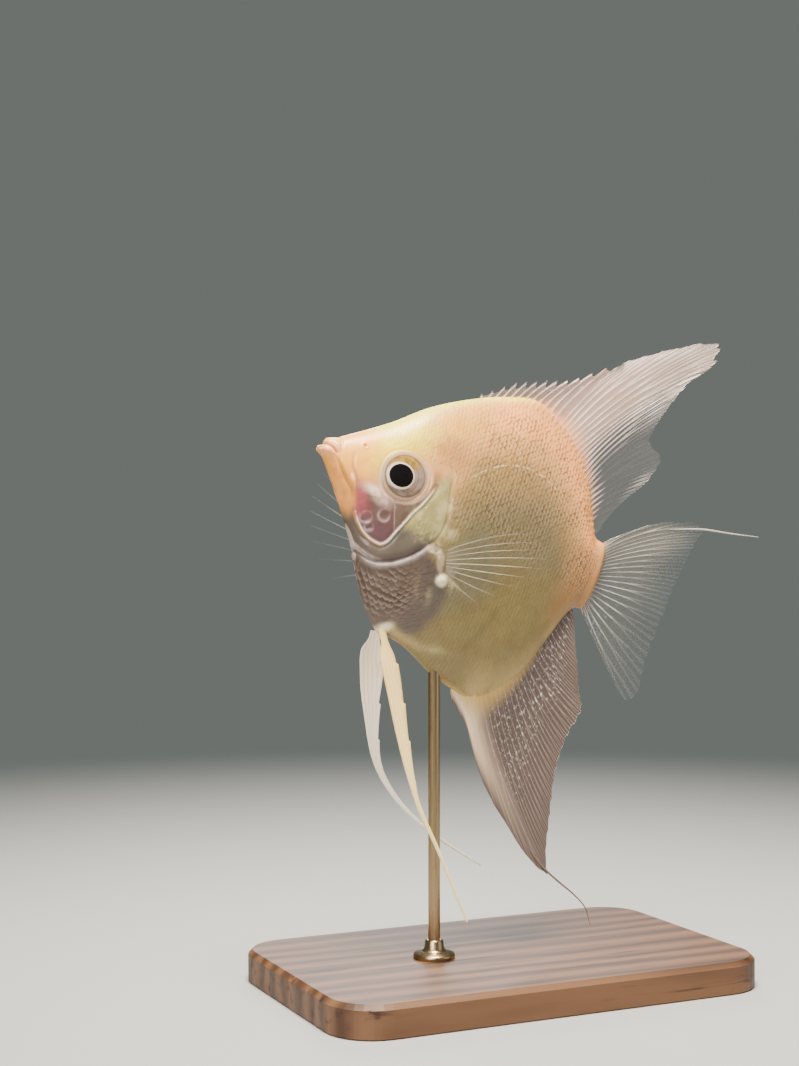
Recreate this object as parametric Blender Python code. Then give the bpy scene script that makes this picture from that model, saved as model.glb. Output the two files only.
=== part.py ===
"""Freshwater angelfish, pale gold form: a life-size still model on a plain display stand.

World: metres, +Z up, with the origin in the middle of the stand's underside. The fish swims towards -X
with its nose up, and its left flank faces -Y.
Body coordinates, in mm: a runs aft from the snout, d runs up towards the back, n runs out to the left.
Local coordinates of the fish's pieces are (a, -n, d), and the empty "fish_frame" places them in the world.
"""

import math

import bpy
import bmesh
import numpy as np
from mathutils import Vector

MM = 0.001

# Driving sizes, in mm and degrees.
STANDARD_LENGTH = 82.2
NOSE_UP = 22.7
SNOUT_X = -48.8
SNOUT_HEIGHT = 133.8
GAP = 0.3
EYE_CENTRE = (20.0, 1.3, 5.0)
EYE_RADIUS = 6.0
EYE_DEPTH = 3.2
EYE_ROUNDING = 0.5
BASE_LENGTH, BASE_WIDTH, BASE_THICKNESS = 116.0, 72.0, 8.0
BASE_CORNER = 12.0
BASE_CHAMFER = 1.2
ROD_X = -18.5
ROD_RADIUS = 1.5
ROD_INSIDE = 12.0

# Outline of the body from the side: (a, d) along the back and along the belly.
BACK = [
    (0, 0.9), (0.7, 2.9), (3.2, 4.8), (9.3, 9.5), (14.8, 14.0), (22.4, 21.2), (31.5, 27.6), (41, 32.7),
    (50, 35.4), (58, 33.4), (65.4, 28.9), (71.4, 22.4), (76, 14.4), (79.5, 10.0), (82.2, 9.3),
]
BELLY = [
    (0, -0.6), (2.8, -3.4), (7.3, -8.5), (11.8, -13.4), (16.3, -18.2), (19.1, -23), (25.3, -31), (30, -35.0),
    (37.9, -36.2), (50.2, -40.4), (62, -42.0), (66.5, -38.5), (71.6, -31.2), (75.4, -20.5), (78.3, -12.5),
    (80.5, -9.3), (82.2, -8.8),
]
# Half of the body's width, the level at which it is widest, and how its section rounds off.
HALF_WIDTH = [
    (0, 2.2), (3, 3.6), (10, 5.6), (20, 7.5), (32, 8.6), (45, 8.2), (60, 6.2), (72, 4.2), (82.2, 2.7),
]
WIDEST_LEVEL = [(0, 0.1), (10, -1), (20, -2), (35, -3), (50, -2), (65, -1.5), (76, 0.3), (82.2, 0.3)]
BACK_ROUNDING = [(0, 0.5), (20, 0.62), (45, 0.78), (82.2, 0.6)]
BELLY_ROUNDING = [(0, 0.5), (20, 0.6), (82.2, 0.58)]

# Seams between the named parts of the body, in (a, d).
GILL_OPENING = [
    (28.6, 8.2), (30.4, 7.6), (31.6, 5.6), (32.2, 2.4), (33.0, -1.0), (33.8, -4.6), (33.6, -8.2),
    (31.6, -11.4), (29.4, -14.5), (26.8, -17.1), (24.0, -19.0), (21.2, -19.9),
]
THROAT = [(18.6, -19.6), (16.4, -18.8)]
CHEEK_EDGE = [
    (18.6, -17.2), (21.2, -16.1), (23.0, -11.6), (25.0, -6.4), (27.2, -2.0), (28.0, 2.0), (28.2, 5.4),
]
MOUTH_LINE = [(0.3, 1.2), (2.5, 0.5), (4.5, -2.0), (7.4, -4.7), (10.0, -6.8), (12.0, -9.2), (12.9, -11.6)]
STALK_FRONT = 76.0

# Fin margins: (share of the way along the fin's root, a, d).
DORSAL_ROOT, ANAL_ROOT = (34.0, 78.6), (54.5, 80.2)
DORSAL_MARGIN = [
    (0, 34.4, 30.6), (0.03, 35.8, 31.4), (0.11, 40, 35.5), (0.19, 45.2, 38.9), (0.31, 54.5, 43),
    (0.39, 63, 49.9), (0.47, 72.6, 57.9), (0.503, 78.9, 62.9), (0.533, 89.8, 70.6), (0.56, 95.2, 72.9),
    (0.60, 96.5, 68.5), (0.67, 91.2, 60.7), (0.74, 86.9, 49.6), (0.795, 85.1, 40.7), (0.845, 90.2, 36.8),
    (0.90, 88.8, 30.3), (0.936, 84.2, 22.9), (0.969, 80.6, 15.6), (1.0, 79.6, 11.6),
]
ANAL_MARGIN = [
    (0, 55.6, -43.2), (0.058, 63.8, -49.1), (0.093, 69.2, -56), (0.134, 76.3, -62.6), (0.173, 84.5, -68.1),
    (0.21, 94.5, -74), (0.24, 100, -75.5), (0.309, 97, -69.5), (0.364, 95, -63.4), (0.426, 93, -56),
    (0.484, 91.5, -49.2), (0.57, 90.8, -41.5), (0.656, 92.2, -33.3), (0.739, 89.6, -28.5),
    (0.835, 86.5, -22.8), (0.919, 83.7, -17), (1.0, 81.4, -11.6),
]
CAUDAL_MARGIN = [
    (0, 84.4, 11.4), (0.05, 90.2, 16), (0.10, 98.4, 22.4), (0.14, 106, 25.2), (0.18, 109.6, 24.9),
    (0.26, 108.5, 21.8), (0.36, 107.3, 16.8), (0.5, 107.1, 9.5), (0.64, 106.6, 0.5), (0.76, 106.6, -10),
    (0.86, 107.3, -21.9), (0.91, 103.9, -25.9), (0.955, 95.0, -18.6), (1.0, 85.0, -10.9),
]
# Fin streamers: (a, d, n, radius).
CAUDAL_STREAMER = [
    (107, 24.0, 0.6, 0.42), (112, 25.6, 0.7, 0.4), (117, 26.8, 0.9, 0.35), (125.8, 29.4, 1.5, 0.3),
]
ANAL_STREAMER = [
    (97.0, -73.8, -0.8, 0.42), (104.6, -76.2, -0.9, 0.4), (108.3, -77.2, -1.1, 0.35),
    (114.1, -79.6, -1.4, 0.32), (117.8, -83.6, -1.8, 0.3),
]
# Pectoral fins, named for their side: (share of the root, a, d, n outwards) for the folded left and
# the spread right one.
PECTORAL_ROOT = [(36.6, -11.2), (39.2, -17.2)]
PECTORAL_MARGINS = {
    "left": [
        (0, 49.2, 0.2, 18), (0.12, 53.8, -0.7, 19), (0.25, 57.2, -1.8, 20), (0.42, 59.1, -4.8, 20.5),
        (0.56, 58.7, -8.6, 20.5), (0.68, 56.4, -12.1, 19.5), (0.8, 53, -16.6, 18), (0.9, 50, -20.2, 16.5),
        (1.0, 46.5, -22.9, 14),
    ],
    "right": [
        (0, 15.6, 3.5, 20), (0.15, 11.9, 0.1, 24), (0.3, 11.0, -4.0, 25), (0.5, 12.6, -10.5, 26),
        (0.7, 15.8, -16.8, 26), (0.85, 19.6, -21.8, 25), (1.0, 26.5, -26.5, 22),
    ],
}
# Pelvic fins: (a, d, n outwards, half width) down the middle of each ribbon.
PELVIC_RIBBONS = {
    "left": [
        (32.2, -36.4, 2.1, 0.9), (35.4, -41.2, 3.0, 2.2), (38.8, -46.4, 3.7, 2.15), (44.2, -55.5, 4.8, 1.75),
        (49.6, -64.3, 5.9, 1.15), (53.6, -70, 6.4, 0.68), (63.9, -79.7, 6.7, 0.5), (77.9, -93.2, 7.0, 0.38),
    ],
    "right": [
        (31.4, -36.6, 2.1, 1.5), (32.2, -40.0, 3.1, 2.9), (34.9, -45.4, 4.2, 3.05), (39.4, -54.3, 5.2, 2.1),
        (45.1, -63.5, 6.1, 1.2), (50.5, -68.4, 6.7, 0.78), (60.7, -73.7, 7.1, 0.55), (72.7, -77, 7.3, 0.45),
        (84.4, -79, 7.5, 0.36),
    ],
}
SIDES = {"left": 1, "right": -1}


def remove_all():
    for obj in list(bpy.data.objects):
        bpy.data.objects.remove(obj, do_unlink=True)


def smooth(at, knots, column=1):
    """A monotone cubic through the knots, so that it never overshoots a tip."""
    table = np.array(knots, float)
    x, y = table[:, 0], table[:, column]
    step, rise = np.diff(x), np.diff(y)
    slope = rise / step
    tangent = np.zeros(len(x))
    tangent[0], tangent[-1] = slope[0], slope[-1]
    for i in range(1, len(x) - 1):
        if slope[i - 1] * slope[i] > 0:
            before, after = 2 * step[i] + step[i - 1], step[i] + 2 * step[i - 1]
            tangent[i] = (before + after) / (before / slope[i - 1] + after / slope[i])
    at = np.clip(np.asarray(at, float), x[0], x[-1])
    i = np.clip(np.searchsorted(x, at, side="right") - 1, 0, len(step) - 1)
    u = (at - x[i]) / step[i]
    return (
        y[i] * (1 + 2 * u) * (1 - u) ** 2
        + step[i] * tangent[i] * u * (1 - u) ** 2
        + y[i + 1] * u * u * (3 - 2 * u)
        + step[i] * tangent[i + 1] * u * u * (u - 1)
    )


def half_width_at(a, d):
    """How far the body's side lies from its middle plane at the place (a, d) on its flank."""
    back, belly, level = smooth(a, BACK), smooth(a, BELLY), smooth(a, WIDEST_LEVEL)
    up = d > level
    share = np.where(up, (d - level) / (back - level), (level - d) / (level - belly))
    rounding = np.where(up, smooth(a, BACK_ROUNDING), smooth(a, BELLY_ROUNDING))
    return smooth(a, HALF_WIDTH) * (1 - np.clip(share, 0, 1) ** 2) ** rounding


def material(name, colour, roughness=0.45, metallic=0.0):
    made = bpy.data.materials.new(name)
    made.use_nodes = True
    shader = made.node_tree.nodes["Principled BSDF"]
    shader.inputs["Base Color"].default_value = (*colour, 1)
    shader.inputs["Roughness"].default_value = roughness
    shader.inputs["Metallic"].default_value = metallic
    return made


def add_mesh(name, points, faces, finish=None, parent=None):
    """One closed mesh, from points in metres, with its faces turned outwards."""
    mesh = bpy.data.meshes.new(name)
    mesh.from_pydata([tuple(map(float, point)) for point in points], [], faces)
    shape = bmesh.new()
    shape.from_mesh(mesh)
    bmesh.ops.recalc_face_normals(shape, faces=shape.faces)
    shape.to_mesh(mesh)
    shape.free()
    obj = bpy.data.objects.new(name, mesh)
    bpy.context.scene.collection.objects.link(obj)
    obj.parent = parent
    if finish:
        mesh.materials.append(finish)
    return obj


def local(points):
    """Body coordinates (a, d, n) in mm to the fish's local metres."""
    points = np.asarray(points, float)
    return np.stack([points[:, 0], -points[:, 2], points[:, 1]], axis=1) * MM


def tube_faces(rings, around):
    """Quads between the rings of a closed tube, with a cap on each end."""
    faces = []
    for r in range(rings - 1):
        for i in range(around):
            here, after = r * around + i, r * around + (i + 1) % around
            faces.append((here, after, after + around, here + around))
    last = (rings - 1) * around
    return faces + [tuple(range(around))[::-1], tuple(range(last, last + around))]


def cutter(name, points, faces, parent):
    obj = add_mesh(name, points, faces, parent=parent)
    obj.hide_render = True
    obj.display_type = "WIRE"
    return obj


def prism(name, outline, low, high, parent):
    """A cutter with the given outline in (a, d), from n = low to n = high."""
    points = [(a, d, n) for n in (low, high) for a, d in outline]
    return cutter(name, local(points), tube_faces(2, len(outline)), parent)


def shrunk(outline, by):
    """The outline moved inwards by the given distance; a minus distance grows it."""
    loop = np.array(outline, float)
    along = np.roll(loop, -1, axis=0) - loop
    along /= np.linalg.norm(along, axis=1)[:, None]
    area = np.sum(loop[:, 0] * np.roll(loop[:, 1], -1) - loop[:, 1] * np.roll(loop[:, 0], -1))
    inward = np.stack([-along[:, 1], along[:, 0]], axis=1) * np.sign(area)
    before = np.roll(inward, 1, axis=0)
    middle = inward + before
    middle /= np.sum(middle * inward, axis=1)[:, None]
    return loop + middle * by


def boolean(obj, operation, other):
    cut = obj.modifiers.new(operation.title() + "_" + other.name, "BOOLEAN")
    cut.operation = operation
    cut.object = other
    cut.solver = "EXACT"


def body_loft(name, finish, parent):
    """The whole body as one closed loft, from the lips to the root of the tail."""
    around, count = 26, 34
    share = np.linspace(0, 1, count)
    stations = STANDARD_LENGTH * (0.55 * share + 0.45 * (1 - np.cos(math.pi * share)) / 2)
    turn = 2 * math.pi * np.arange(around) / around
    rings = []
    for a in stations:
        level = float(smooth(a, WIDEST_LEVEL))
        reach = np.where(np.cos(turn) > 0, smooth(a, BACK) - level, level - smooth(a, BELLY))
        d = level + reach * np.cos(turn)
        n = np.sign(np.round(np.sin(turn), 9)) * half_width_at(a, d)
        rings.append(np.stack([np.full(around, a), d, n], axis=1))
    return add_mesh(name, local(np.concatenate(rings)), tube_faces(count, around), finish, parent)


def eye_loft(name, finish, parent, side, grow=0.0):
    """A flattened eyeball: a round outline with a low dome on each face."""
    around, levels = 20, 10
    centre = Vector(EYE_CENTRE)
    rings = []
    for k in range(1, levels):
        tilt = math.pi * k / levels
        radius = (EYE_RADIUS + grow) * math.sin(tilt) ** EYE_ROUNDING
        depth = (EYE_DEPTH + grow) * math.cos(tilt)
        for i in range(around):
            turn = 2 * math.pi * i / around
            place = (radius * math.cos(turn), radius * math.sin(turn), depth)
            rings.append((centre.x + place[0], centre.y + place[1], side * (centre.z + place[2])))
    return add_mesh(name, local(rings), tube_faces(levels - 1, around), finish, parent)


def make_body(finishes, parent):
    """Head, lower jaw, gill covers, trunk and tail stalk, parted from one loft by thin cuts."""
    far = 70
    ahead, behind = -5, STANDARD_LENGTH + 5
    seam = [(27.0, far)] + GILL_OPENING + THROAT + [(15.4, -far)]
    jaw = [(ahead, 1.2)] + MOUTH_LINE + [(13.4, -far), (ahead, -far)]
    cover = GILL_OPENING + CHEEK_EDGE
    front = [(ahead, far)] + seam + [(ahead, -far)]
    rear = seam + [(STALK_FRONT, -far), (STALK_FRONT, far)]
    stalk = [(STALK_FRONT, far), (STALK_FRONT, -far), (behind, -far), (behind, far)]
    room = shrunk(cover, -GAP / 2)
    deep, wide = 2.4, 20

    head = body_loft("head", finishes["gold"], parent)
    boolean(head, "INTERSECT", prism("cut_front", shrunk(front, GAP / 2), -wide, wide, parent))
    boolean(head, "DIFFERENCE", prism("cut_jaw_room", shrunk(jaw, -GAP / 2), -wide, wide, parent))
    boolean(head, "DIFFERENCE", prism("cut_cover_room_left", room, deep - GAP, wide, parent))
    boolean(head, "DIFFERENCE", prism("cut_cover_room_right", room, -wide, GAP - deep, parent))

    jaw_part = body_loft("lower_jaw", finishes["lips"], parent)
    boolean(jaw_part, "INTERSECT", prism("cut_jaw", shrunk(jaw, GAP / 2), -wide, wide, parent))

    for side, sign in SIDES.items():
        near, out = sorted((sign * deep, sign * wide))
        plate = body_loft("gill_cover_" + side, finishes["rose"], parent)
        boolean(plate, "INTERSECT", prism("cut_cover_" + side, shrunk(cover, GAP / 2), near, out, parent))
        pocket = eye_loft("cut_eye_" + side, None, parent, sign, GAP)
        pocket.hide_render = True
        pocket.display_type = "WIRE"
        boolean(head, "DIFFERENCE", pocket)
        eye_loft("eye_" + side, finishes["eye"], parent, sign)

    trunk = body_loft("trunk", finishes["gold"], parent)
    boolean(trunk, "INTERSECT", prism("cut_rear", shrunk(rear, GAP / 2), -wide, wide, parent))
    tail_stalk = body_loft("tail_stalk", finishes["gold"], parent)
    boolean(tail_stalk, "INTERSECT", prism("cut_stalk", shrunk(stalk, GAP / 2), -wide, wide, parent))
    return trunk


def ray_thickness(share, thick=0.75, thin=0.3):
    """Half of a fin's thickness along its rays: a fleshy root that soon thins to the membrane."""
    return thin + (thick - thin) * np.clip(1 - share / 0.35, 0, 1) ** 1.5


def blade(name, sheet, half, finish, parent):
    """A closed fin from a grid of points [ray, step along ray, (a, d, n)] and its half thickness."""
    rays, steps = sheet.shape[:2]
    across = np.gradient(sheet, axis=0)
    along = np.gradient(sheet, axis=1)
    normal = np.cross(across, along)
    normal /= np.maximum(np.linalg.norm(normal, axis=2), 1e-9)[..., None]
    faces_of = [sheet + side * normal * half[..., None] for side in (1, -1)]
    points = np.concatenate([face.reshape(-1, 3) for face in faces_of])
    back = rays * steps
    faces = []
    for r in range(rays - 1):
        for s in range(steps - 1):
            i = r * steps + s
            faces.append((i, i + 1, i + steps + 1, i + steps))
            faces.append((back + i, back + i + steps, back + i + steps + 1, back + i + 1))
    rim = [(r, 0) for r in range(rays)] + [(rays - 1, s) for s in range(1, steps)]
    rim += [(r, steps - 1) for r in range(rays - 2, -1, -1)] + [(0, s) for s in range(steps - 2, 0, -1)]
    for (r, s), (q, t) in zip(rim, rim[1:] + rim[:1]):
        i, j = r * steps + s, q * steps + t
        faces.append((i, j, back + j, back + i))
    return add_mesh(name, local(points), faces, finish, parent)


def root_on(profile, span, away, shares):
    """Points just off the body's edge, spaced evenly along it."""
    a = np.linspace(*span, 200)
    d = smooth(a, profile)
    length = np.concatenate([[0], np.cumsum(np.hypot(np.diff(a), np.diff(d)))])
    at = np.interp(shares, length / length[-1], a)
    slope = (smooth(at + 0.2, profile) - smooth(at - 0.2, profile)) / 0.4
    scale = away / np.hypot(1, slope)
    return np.stack([at - slope * scale, smooth(at, profile) + scale, np.zeros(len(at))], axis=1)


def fan(root, margin, steps, bow=0.0):
    """Rays from the root to the margin, bowed a little towards their front."""
    share = np.linspace(0, 1, steps)[None, :, None]
    ray = (margin - root)[:, None, :]
    side = np.stack([-ray[..., 1], ray[..., 0], 0 * ray[..., 0]], axis=2)
    return root[:, None, :] + ray * share + side * (bow * 4 * share * (1 - share))


def ray_shares(margin, count):
    """Where the rays stand along the root, closer together where the margin has its points."""
    places = np.array([knot[0] for knot in margin])
    return np.interp(np.linspace(0, 1, count), np.linspace(0, 1, len(places)), places)


def margin_points(margin, shares, lean=0.0):
    """The fin's edge, with a slow sideways wave that leans the blade out of the middle plane."""
    a, d = smooth(shares, margin, 1), smooth(shares, margin, 2)
    return np.stack([a, d, lean * np.sin(2 * math.pi * shares)], axis=1)


def streamer(name, knots, parent):
    """A tapering thread from inside the fin's margin to its tip, for a Boolean union."""
    around, count = 6, 3 * len(knots)
    table = np.array([(i, *knot) for i, knot in enumerate(knots)], float)
    at = np.linspace(0, len(knots) - 1, count)
    line = np.stack([smooth(at, table, k) for k in (1, 2, 3)], axis=1)
    radius = smooth(at, table, 4)
    along = np.gradient(line, axis=0)
    along /= np.linalg.norm(along, axis=1)[:, None]
    side = np.cross(along, (0, 0, 1.0))
    turns = [2 * math.pi * i / around for i in range(around)]
    rings = [
        line[k] + radius[k] * (math.cos(turn) * side[k] + math.sin(turn) * np.array((0, 0, 1.0)))
        for k in range(count)
        for turn in turns
    ]
    return cutter(name, local(rings), tube_faces(count, around), parent)


def make_median_fins(finishes, parent):
    steps = 8
    shares = ray_shares(DORSAL_MARGIN, 40)
    root = root_on(BACK, DORSAL_ROOT, GAP + 0.15, shares)
    sheet = fan(root, margin_points(DORSAL_MARGIN, shares, 0.8), steps, 0.03)
    blade("dorsal_fin", sheet, fin_half(sheet), finishes["fin"], parent)

    shares = ray_shares(ANAL_MARGIN, 36)
    root = root_on(BELLY, ANAL_ROOT, -GAP - 0.15, shares)
    sheet = fan(root, margin_points(ANAL_MARGIN, shares, -0.8), steps, -0.03)
    anal = blade("anal_fin", sheet, fin_half(sheet), finishes["fin"], parent)
    boolean(anal, "UNION", streamer("add_anal_streamer", ANAL_STREAMER, parent))

    shares = ray_shares(CAUDAL_MARGIN, 34)
    root = np.stack([np.full(len(shares), STANDARD_LENGTH + GAP), 9.0 - 17.6 * shares, 0 * shares], axis=1)
    sheet = fan(root, margin_points(CAUDAL_MARGIN, shares, 0.8), steps)
    caudal = blade("caudal_fin", sheet, fin_half(sheet), finishes["fin"], parent)
    boolean(caudal, "UNION", streamer("add_caudal_streamer", CAUDAL_STREAMER, parent))


def fin_half(sheet):
    """Half thickness over a fin's grid, the same on every ray."""
    rays, steps = sheet.shape[:2]
    return np.repeat(ray_thickness(np.linspace(0, 1, steps))[None, :], rays, axis=0)


def make_paired_fins(finishes, parent):
    for side, sign in SIDES.items():
        margin = PECTORAL_MARGINS[side]
        shares = np.linspace(0, 1, 13)
        root = np.array([np.interp(shares, (0, 1), column) for column in zip(*PECTORAL_ROOT)]).T
        out = half_width_at(root[:, 0], root[:, 1]) + GAP + 0.55
        root = np.column_stack([root, out])
        edge = np.stack([smooth(shares, margin, k) for k in (1, 2, 3)], axis=1)
        sheet = fan(root, edge, 6)
        sheet[..., 2] *= sign
        half = np.repeat(ray_thickness(np.linspace(0, 1, 6), 0.5)[None, :], len(shares), axis=0)
        blade("pectoral_fin_" + side, sheet, half, finishes["fin"], parent)
        ribbon("pelvic_fin_" + side, PELVIC_RIBBONS[side], sign, finishes["cream"], parent)


def ribbon(name, knots, sign, finish, parent):
    """A long pelvic fin: a flat oval section drawn down its middle line."""
    around, count = 8, 22
    table = np.array([(i, *knot) for i, knot in enumerate(knots)], float)
    at = np.linspace(0, len(knots) - 1, count)
    line = np.stack([smooth(at, table, k) for k in (1, 2, 3)], axis=1)
    half = smooth(at, table, 4)
    along = np.gradient(line, axis=0)
    along /= np.linalg.norm(along, axis=1)[:, None]
    side = np.cross(along, (0, 0, 1.0))
    side /= np.linalg.norm(side, axis=1)[:, None]
    face = np.cross(side, along)
    thin = np.clip(half * 0.6, 0.3, 0.5)
    points = []
    for k in range(count):
        for i in range(around):
            turn = 2 * math.pi * i / around
            point = line[k] + half[k] * math.cos(turn) * side[k] + thin[k] * math.sin(turn) * face[k]
            points.append((point[0], point[1], sign * point[2]))
    add_mesh(name, local(points), tube_faces(count, around), finish, parent)


def make_base(finish):
    """A flat slab with round corners and a small chamfer, standing on the floor."""
    steps = 8
    centres = [(1, 1), (-1, 1), (-1, -1), (1, -1)]
    outline = []
    for k, (sx, sy) in enumerate(centres):
        for i in range(steps + 1):
            turn = math.pi / 2 * (k + i / steps)
            outline.append((sx, sy, math.cos(turn), math.sin(turn)))
    rings = [(0, 0.4), (0.4, 0), (BASE_THICKNESS - BASE_CHAMFER, 0), (BASE_THICKNESS, BASE_CHAMFER)]
    points = []
    for height, inset in rings:
        for sx, sy, cx, cy in outline:
            x = sx * (BASE_LENGTH / 2 - BASE_CORNER) + cx * (BASE_CORNER - inset)
            y = sy * (BASE_WIDTH / 2 - BASE_CORNER) + cy * (BASE_CORNER - inset)
            points.append((x * MM, y * MM, height * MM))
    return add_mesh("stand_base", points, tube_faces(len(rings), len(outline)), finish)


def rod(name, radius, low, high, finish):
    """An upright round bar at the rod's place, between two heights in mm."""
    around = 20
    points = []
    for height in (low, high):
        for i in range(around):
            turn = 2 * math.pi * i / around
            x, y = ROD_X + radius * math.cos(turn), radius * math.sin(turn)
            points.append((x * MM, y * MM, height * MM))
    return add_mesh(name, points, tube_faces(2, around), finish)


def belly_height_over(x):
    """World height, in mm, of the belly's edge above the given world x."""
    a = np.linspace(35, 62, 400)
    d = smooth(a, BELLY)
    tilt = math.radians(NOSE_UP)
    world_x = SNOUT_X + a * math.cos(tilt) + d * math.sin(tilt)
    world_z = SNOUT_HEIGHT - a * math.sin(tilt) + d * math.cos(tilt)
    return float(np.interp(x, world_x, world_z))


def make_stand(finishes, trunk):
    make_base(finishes["wood"])
    top = belly_height_over(ROD_X) + ROD_INSIDE
    rod("stand_rod", ROD_RADIUS, BASE_THICKNESS + GAP, top, finishes["brass"])
    bore = rod("cut_rod_bore", ROD_RADIUS + GAP, BASE_THICKNESS + 20, top + GAP, None)
    bore.hide_render = True
    bore.display_type = "WIRE"
    boolean(trunk, "DIFFERENCE", bore)


def main():
    remove_all()
    fish = bpy.data.objects.new("fish_frame", None)
    bpy.context.scene.collection.objects.link(fish)
    fish.location = (SNOUT_X * MM, 0, SNOUT_HEIGHT * MM)
    fish.rotation_euler = (0, math.radians(NOSE_UP), 0)
    finishes = {
        "gold": material("pale_gold_skin", (0.80, 0.60, 0.38), 0.38),
        "lips": material("peach_skin", (0.82, 0.50, 0.34), 0.40),
        "rose": material("rose_grey_skin", (0.62, 0.48, 0.42), 0.35),
        "fin": material("clear_white_fin", (0.78, 0.76, 0.74), 0.35),
        "cream": material("cream_pelvic_fin", (0.86, 0.78, 0.62), 0.40),
        "eye": material("silver_eye", (0.55, 0.52, 0.47), 0.12),
        "wood": material("walnut", (0.13, 0.065, 0.035), 0.45),
        "brass": material("brass_rod", (0.66, 0.50, 0.26), 0.28, 1.0),
    }
    trunk = make_body(finishes, fish)
    make_median_fins(finishes, fish)
    make_paired_fins(finishes, fish)
    make_stand(finishes, trunk)


main()
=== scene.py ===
"""Looks of the life-size freshwater angelfish: skin, scales, fins, eyes, stand, light and camera.

Body coordinates, in mm: a runs aft from the snout, d runs up towards the back, n runs out to the fish's
left. Shapes and markings are functions of (a, d), the same on both sides.
"""

import math

import bpy
import numpy as np
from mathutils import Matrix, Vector


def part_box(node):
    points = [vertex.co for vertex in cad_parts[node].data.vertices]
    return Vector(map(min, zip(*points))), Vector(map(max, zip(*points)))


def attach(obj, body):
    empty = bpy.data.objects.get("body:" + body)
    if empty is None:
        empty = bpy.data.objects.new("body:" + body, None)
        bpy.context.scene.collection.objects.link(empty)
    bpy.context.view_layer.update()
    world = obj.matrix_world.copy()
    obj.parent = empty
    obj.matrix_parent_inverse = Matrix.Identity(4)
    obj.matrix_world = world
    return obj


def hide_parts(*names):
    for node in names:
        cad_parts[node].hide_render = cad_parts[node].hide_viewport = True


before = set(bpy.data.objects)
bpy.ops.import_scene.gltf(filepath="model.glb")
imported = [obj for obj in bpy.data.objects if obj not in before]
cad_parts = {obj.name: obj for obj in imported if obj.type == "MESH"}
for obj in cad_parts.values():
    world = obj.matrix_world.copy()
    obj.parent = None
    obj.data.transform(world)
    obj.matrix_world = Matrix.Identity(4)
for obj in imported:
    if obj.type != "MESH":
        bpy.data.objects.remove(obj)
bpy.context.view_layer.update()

MM = 0.001
LENGTH = 82.2
NOSE_UP = math.radians(22.7)
EYE, EYE_RADIUS = (20, 1.3), 6
SCALE_DEPTH = 0.25
RANDOM = np.random.default_rng(7)
SIDES = {"left": 1, "right": -1}

# The body's outline and section, by station.
BACK = [
    (0, 0.9), (0.7, 2.9), (3.2, 4.8), (9.3, 9.5), (14.8, 14), (22.4, 21.2), (31.5, 27.6), (41, 32.7),
    (50, 35.4), (58, 33.4), (65.4, 28.9), (71.4, 22.4), (76, 14.4), (79.5, 10), (82.2, 9.3),
]
BELLY = [
    (0, -0.6), (2.8, -3.4), (7.3, -8.5), (11.8, -13.4), (16.3, -18.2), (19.1, -23), (25.3, -31), (30, -35),
    (37.9, -36.2), (50.2, -40.4), (62, -42), (66.5, -38.5), (71.6, -31.2), (75.4, -20.5), (78.3, -12.5),
    (80.5, -9.3), (82.2, -8.8),
]
HALF_WIDTH = [
    (0, 2.2), (3, 3.6), (10, 5.6), (20, 7.5), (32, 8.6), (45, 8.2), (60, 6.2), (72, 4.2), (82.2, 2.7),
]
WIDEST_LEVEL = [(0, 0.1), (10, -1), (20, -2), (35, -3), (50, -2), (65, -1.5), (76, 0.3), (82.2, 0.3)]
BACK_ROUNDING = [(0, 0.5), (20, 0.62), (45, 0.78), (82.2, 0.6)]
BELLY_ROUNDING = [(0, 0.5), (20, 0.6), (82.2, 0.58)]

# Lines on the body, in (a, d).
MOUTH_LINE = [(-0.9, 1), (0.3, 1.35), (1.4, 1.2), (2.5, 0.5), (3.4, -0.3)]
JAW_LINE = MOUTH_LINE[1:4] + [
    (3.3, -0.2), (4.5, -2), (5.8, -3.3), (7.4, -4.7), (9.4, -6.2), (11, -8.4), (12.6, -11.2), (14.4, -13.6),
    (16, -15.6),
]
LIP_FOLD = [(2.8, 4.6), (3.4, 3.2), (3.7, 1.8), (4.3, 0.4)]
CHEEK_FOLD = [
    (6.6, 2.6), (7, 0.6), (7.6, -1.4), (8.5, -2.8), (9.7, -4.5), (10.6, -6.2), (11.9, -9.2), (12.7, -11.2),
]
CHEEK_EDGE = [
    (12.7, -11.2), (14.4, -13.1), (16.5, -14.9), (18.7, -16), (20.7, -16.2), (22.1, -15), (23.1, -12),
    (24.2, -9), (25.1, -6.4), (26.4, -3.9), (27.5, -1.2), (28.4, 1.4),
]
CHEEK_BORDER = [(18.4, -3), (19.6, -5.1), (20.5, -6.9), (21.2, -8.9), (22.1, -10.9), (22.8, -12.6)]
GILL_OPENING = [
    (28.6, 8.2), (30.4, 7.6), (31.6, 5.6), (32.2, 2.4), (33, -1), (33.8, -4.6), (33.6, -8.2),
    (31.6, -11.4), (29.4, -14.5), (26.8, -17.1), (24, -19), (21.2, -19.9), (18.6, -19.4), (16.2, -18.2),
    (14.8, -17.2),
]
LATERAL_LINE = [
    (36.5, 8), (39.8, 11.5), (43.8, 14.5), (47.9, 16.2), (52, 17), (56.5, 17), (61, 15.6),
]
# Folds of the belly, drawn only in colour: painted light along one and painted shade along the crease of
# another.
LIT_FOLD = [(31.8, -33), (35.2, -34.2), (38.6, -34.6), (42.2, -34.8), (46, -34), (50, -33.5)]
SHADED_FOLD = [(56.8, -18.5), (56.2, -21.1), (55.1, -25.1), (53.1, -29.7), (51.2, -33)]

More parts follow.
